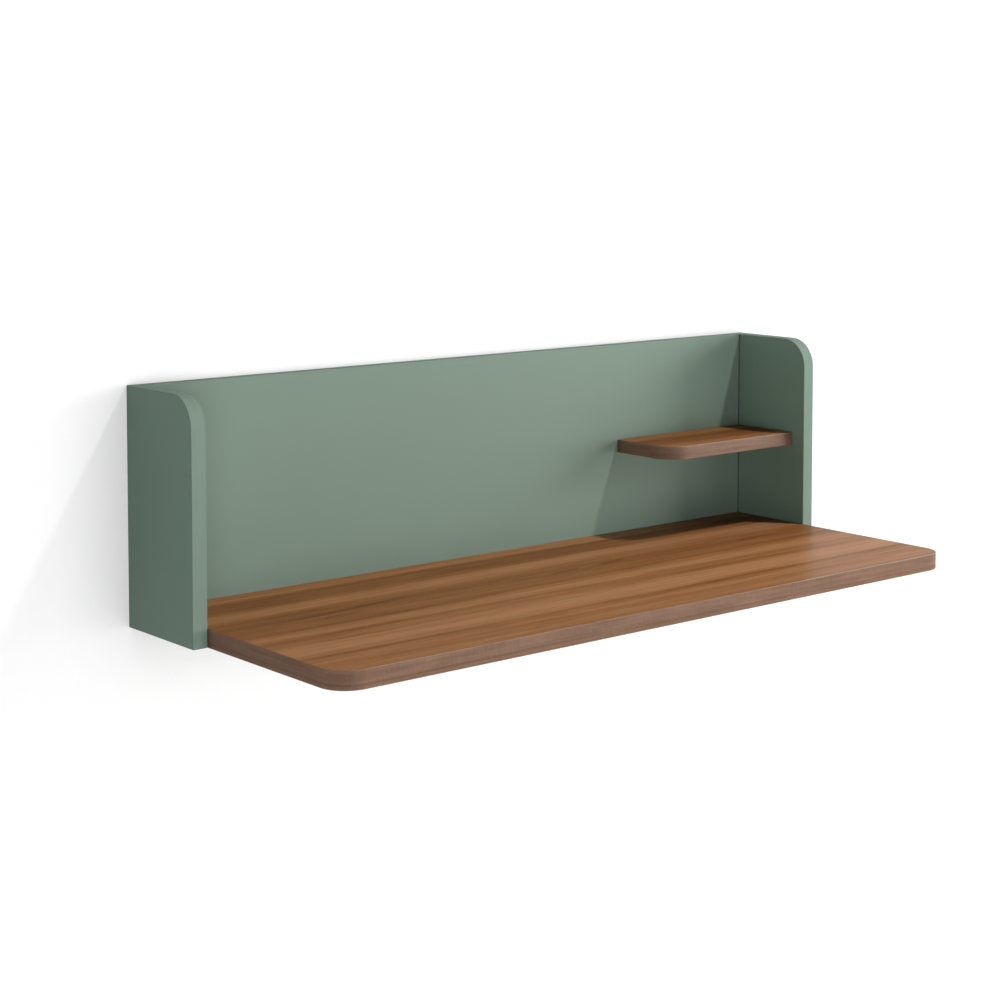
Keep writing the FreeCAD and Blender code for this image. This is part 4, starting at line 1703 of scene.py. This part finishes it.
@dataclass
class Studio:
    """The camera, the lights and the plain stage.

    Attributes:
        camera_place: where the camera stands.
        camera_turn, camera_tilt: how far it is turned to the right and tilted down, in degrees.
        lens, shift: its focal length in millimetres, and the shift of its picture.
        floor_level, wall_gap: the Z of the floor, and how far the wall stands behind the desk.
        stage_size: the width of the wall and the floor.
        wall_white, wall_glow, wall_bounce: how much light the wall that shows reflects and gives off, and
            how much light the plane that stands for it throws back on the desk.
        floor_white, floor_glow, floor_bounce: the same for the floor.
        backdrop_glow: how much light the dome round the stage gives off.
        contact_reach, shade_reach: how far the close and the wide painted shade in the stage's glow round
            the desk reach.
        shade_share, shade_samples: the share of the wide shade, and the rays for each shade.
        sky: the strength of the even light.
        lights: the area lights.
    """

    camera_place: Triple = (-1.9817, -2.4593, 0.4324)
    camera_turn: float = 39.688
    camera_tilt: float = 3.623
    lens: float = 73.97
    shift: float = -0.23
    floor_level: float = -1.30
    wall_gap: float = 0.5 * MM
    stage_size: float = 14.0
    wall_white: float = 0.40
    wall_glow: float = 0.62
    wall_bounce: float = 0.41
    floor_white: float = 0.20
    floor_glow: float = 0.80
    floor_bounce: float = 0.80
    backdrop_glow: float = 0.90
    contact_reach: float = 0.11
    shade_reach: float = 0.40
    shade_share: float = 0.30
    shade_samples: int = 4
    sky: float = 0.005
    lights: tuple[SoftLight, ...] = (
        SoftLight("key", (1.80, -1.72, 4.10), (0.28, 0.28), 160.0),
        SoftLight("right", (4.0, -2.4, 0.6), (2.5, 2.0), 205.0),
        SoftLight("left", (-2.7, -3.9, 0.0), (2.0, 1.4), 106.0),
        SoftLight("low", (2.6, -4.0, -0.6), (2.0, 1.2), 38.0),
        SoftLight("behind", (0.0, 2.5, -0.07), (1.2, 0.50), 8.5, (0.0, 0.0, -0.07), 60.0),
    )

    def build(self) -> None:
        """Set up the stage, the lights and the camera."""
        self._stage()
        self._sky()
        for light in self.lights:
            light.build()
        self._camera()
        bpy.context.scene.view_settings.view_transform = "Standard"

    def _stage(self) -> None:
        """Add the wall and floor, each as one plane to see and one that reflects light, and a backdrop."""
        wall = self._shaded_paint("white_wall", self.wall_white, self.wall_glow)
        floor = self._shaded_paint("pale_floor", self.floor_white, self.floor_glow)
        for name, paint, bounce in (("wall", wall, self.wall_bounce), ("floor", floor, self.floor_bounce)):
            seen = self._plane(name, paint)
            seen.visible_diffuse = False
            seen.visible_shadow = False
            reflector = self._plane(name, self._paint(f"{name}_bounce", bounce))
            reflector.visible_camera = False
            reflector.visible_glossy = False
            reflector.visible_transmission = False
            reflector.visible_shadow = False
        self._backdrop()

    def _backdrop(self) -> None:
        """Close the room off with a pale dome that only the camera sees."""
        bpy.ops.object.select_all(action="DESELECT")
        bpy.ops.mesh.primitive_uv_sphere_add(radius=self.stage_size / 2)
        dome = bpy.context.object
        dome.name = "backdrop"
        dome.data.materials.append(self._paint("pale_backdrop", 0.0, self.backdrop_glow).material)
        dome.visible_diffuse = False
        dome.visible_glossy = False
        dome.visible_shadow = False

    def _shaded_paint(self, name: str, white: float, glow: float) -> Graph:
        """Return a glowing paint whose glow is darkened near the desk as painted shade, and that is clear
        from behind.

        Args:
            name: the material's name.
            white: how much light it reflects.
            glow: how much light it gives off.

        Returns:
            The graph of the material.
        """
        paint = self._paint(name, white, glow)
        contact, shade = (
            paint.add("ShaderNodeAmbientOcclusion", {"samples": self.shade_samples}, {"Distance": reach})
            for reach in (self.contact_reach, self.shade_reach)
        )
        # Ambient occlusion darkens the glow near the desk: painted shade on the stage.
        paint.feed("Emission Color", paint.mix(self.shade_share, contact, shade))
        clear = paint.add("ShaderNodeBsdfTransparent", {}, {})
        behind = paint.add("ShaderNodeNewGeometry", {}, {}, "Backfacing")
        front = Signal(paint, paint.shader.outputs[0])
        mixed = paint.add("ShaderNodeMixShader", {}, {0: behind, 1: front, 2: clear})
        paint.tree.links.new(mixed.socket, paint.tree.nodes["Material Output"].inputs["Surface"])
        return paint

    @staticmethod
    def _paint(name: str, white: float, glow: float = 0.0) -> Graph:
        """Return a dead matt white paint.

        Args:
            name: the material's name.
            white: how much light it reflects.
            glow: how much light it gives off.

        Returns:
            The graph of the material.
        """
        tint = (white, white, white, 1.0)
        matt = {"Roughness": 1.0, "Specular_IOR_Level": 0.0}
        return Graph(name, Base_Color=tint, Emission_Color=(1.0,) * 4, Emission_Strength=glow, **matt)

    def _plane(self, name: str, paint: Graph) -> bpy.types.Object:
        """Add a large plane to the stage.

        Args:
            name: wall for an upright plane, or floor for a level one.
            paint: the graph of its material.

        Returns:
            The plane's object.
        """
        bpy.ops.object.select_all(action="DESELECT")
        place = (0.0, 0.0, self.floor_level)
        turn = (0.0, 0.0, 0.0)
        if name == "wall":
            place = (0.0, self.wall_gap, self.floor_level + self.stage_size / 2)
            turn = UPRIGHT
        bpy.ops.mesh.primitive_plane_add(size=self.stage_size, location=place, rotation=turn)
        plane = bpy.context.object
        plane.name = paint.material.name
        plane.data.materials.append(paint.material)
        return plane

    def _sky(self) -> None:
        """Fill the room with an even white light."""
        world = bpy.data.worlds.new("studio")
        world.use_nodes = True
        backdrop = world.node_tree.nodes["Background"]
        backdrop.inputs["Color"].default_value = (1.0, 1.0, 1.0, 1.0)
        backdrop.inputs["Strength"].default_value = self.sky
        bpy.context.scene.world = world

    def _camera(self) -> None:
        """Stand the camera where the photograph was taken."""
        lens = bpy.data.cameras.new("camera")
        lens.lens = self.lens
        lens.shift_y = self.shift
        camera = bpy.data.objects.new("camera", lens)
        camera.location = self.camera_place
        camera.rotation_euler = (math.radians(90 - self.camera_tilt), 0.0, math.radians(-self.camera_turn))
        bpy.context.scene.collection.objects.link(camera)
        bpy.context.scene.camera = camera


def main() -> None:
    """Build the desk's looks and the studio."""
    logging.basicConfig(level=logging.INFO, format="%(message)s")
    for part in (PanelCase(), WalnutBoards(), PanelJoints(), RearScrews(), Hangers(), Studio()):
        part.build()


if __name__ == "__main__":
    main()
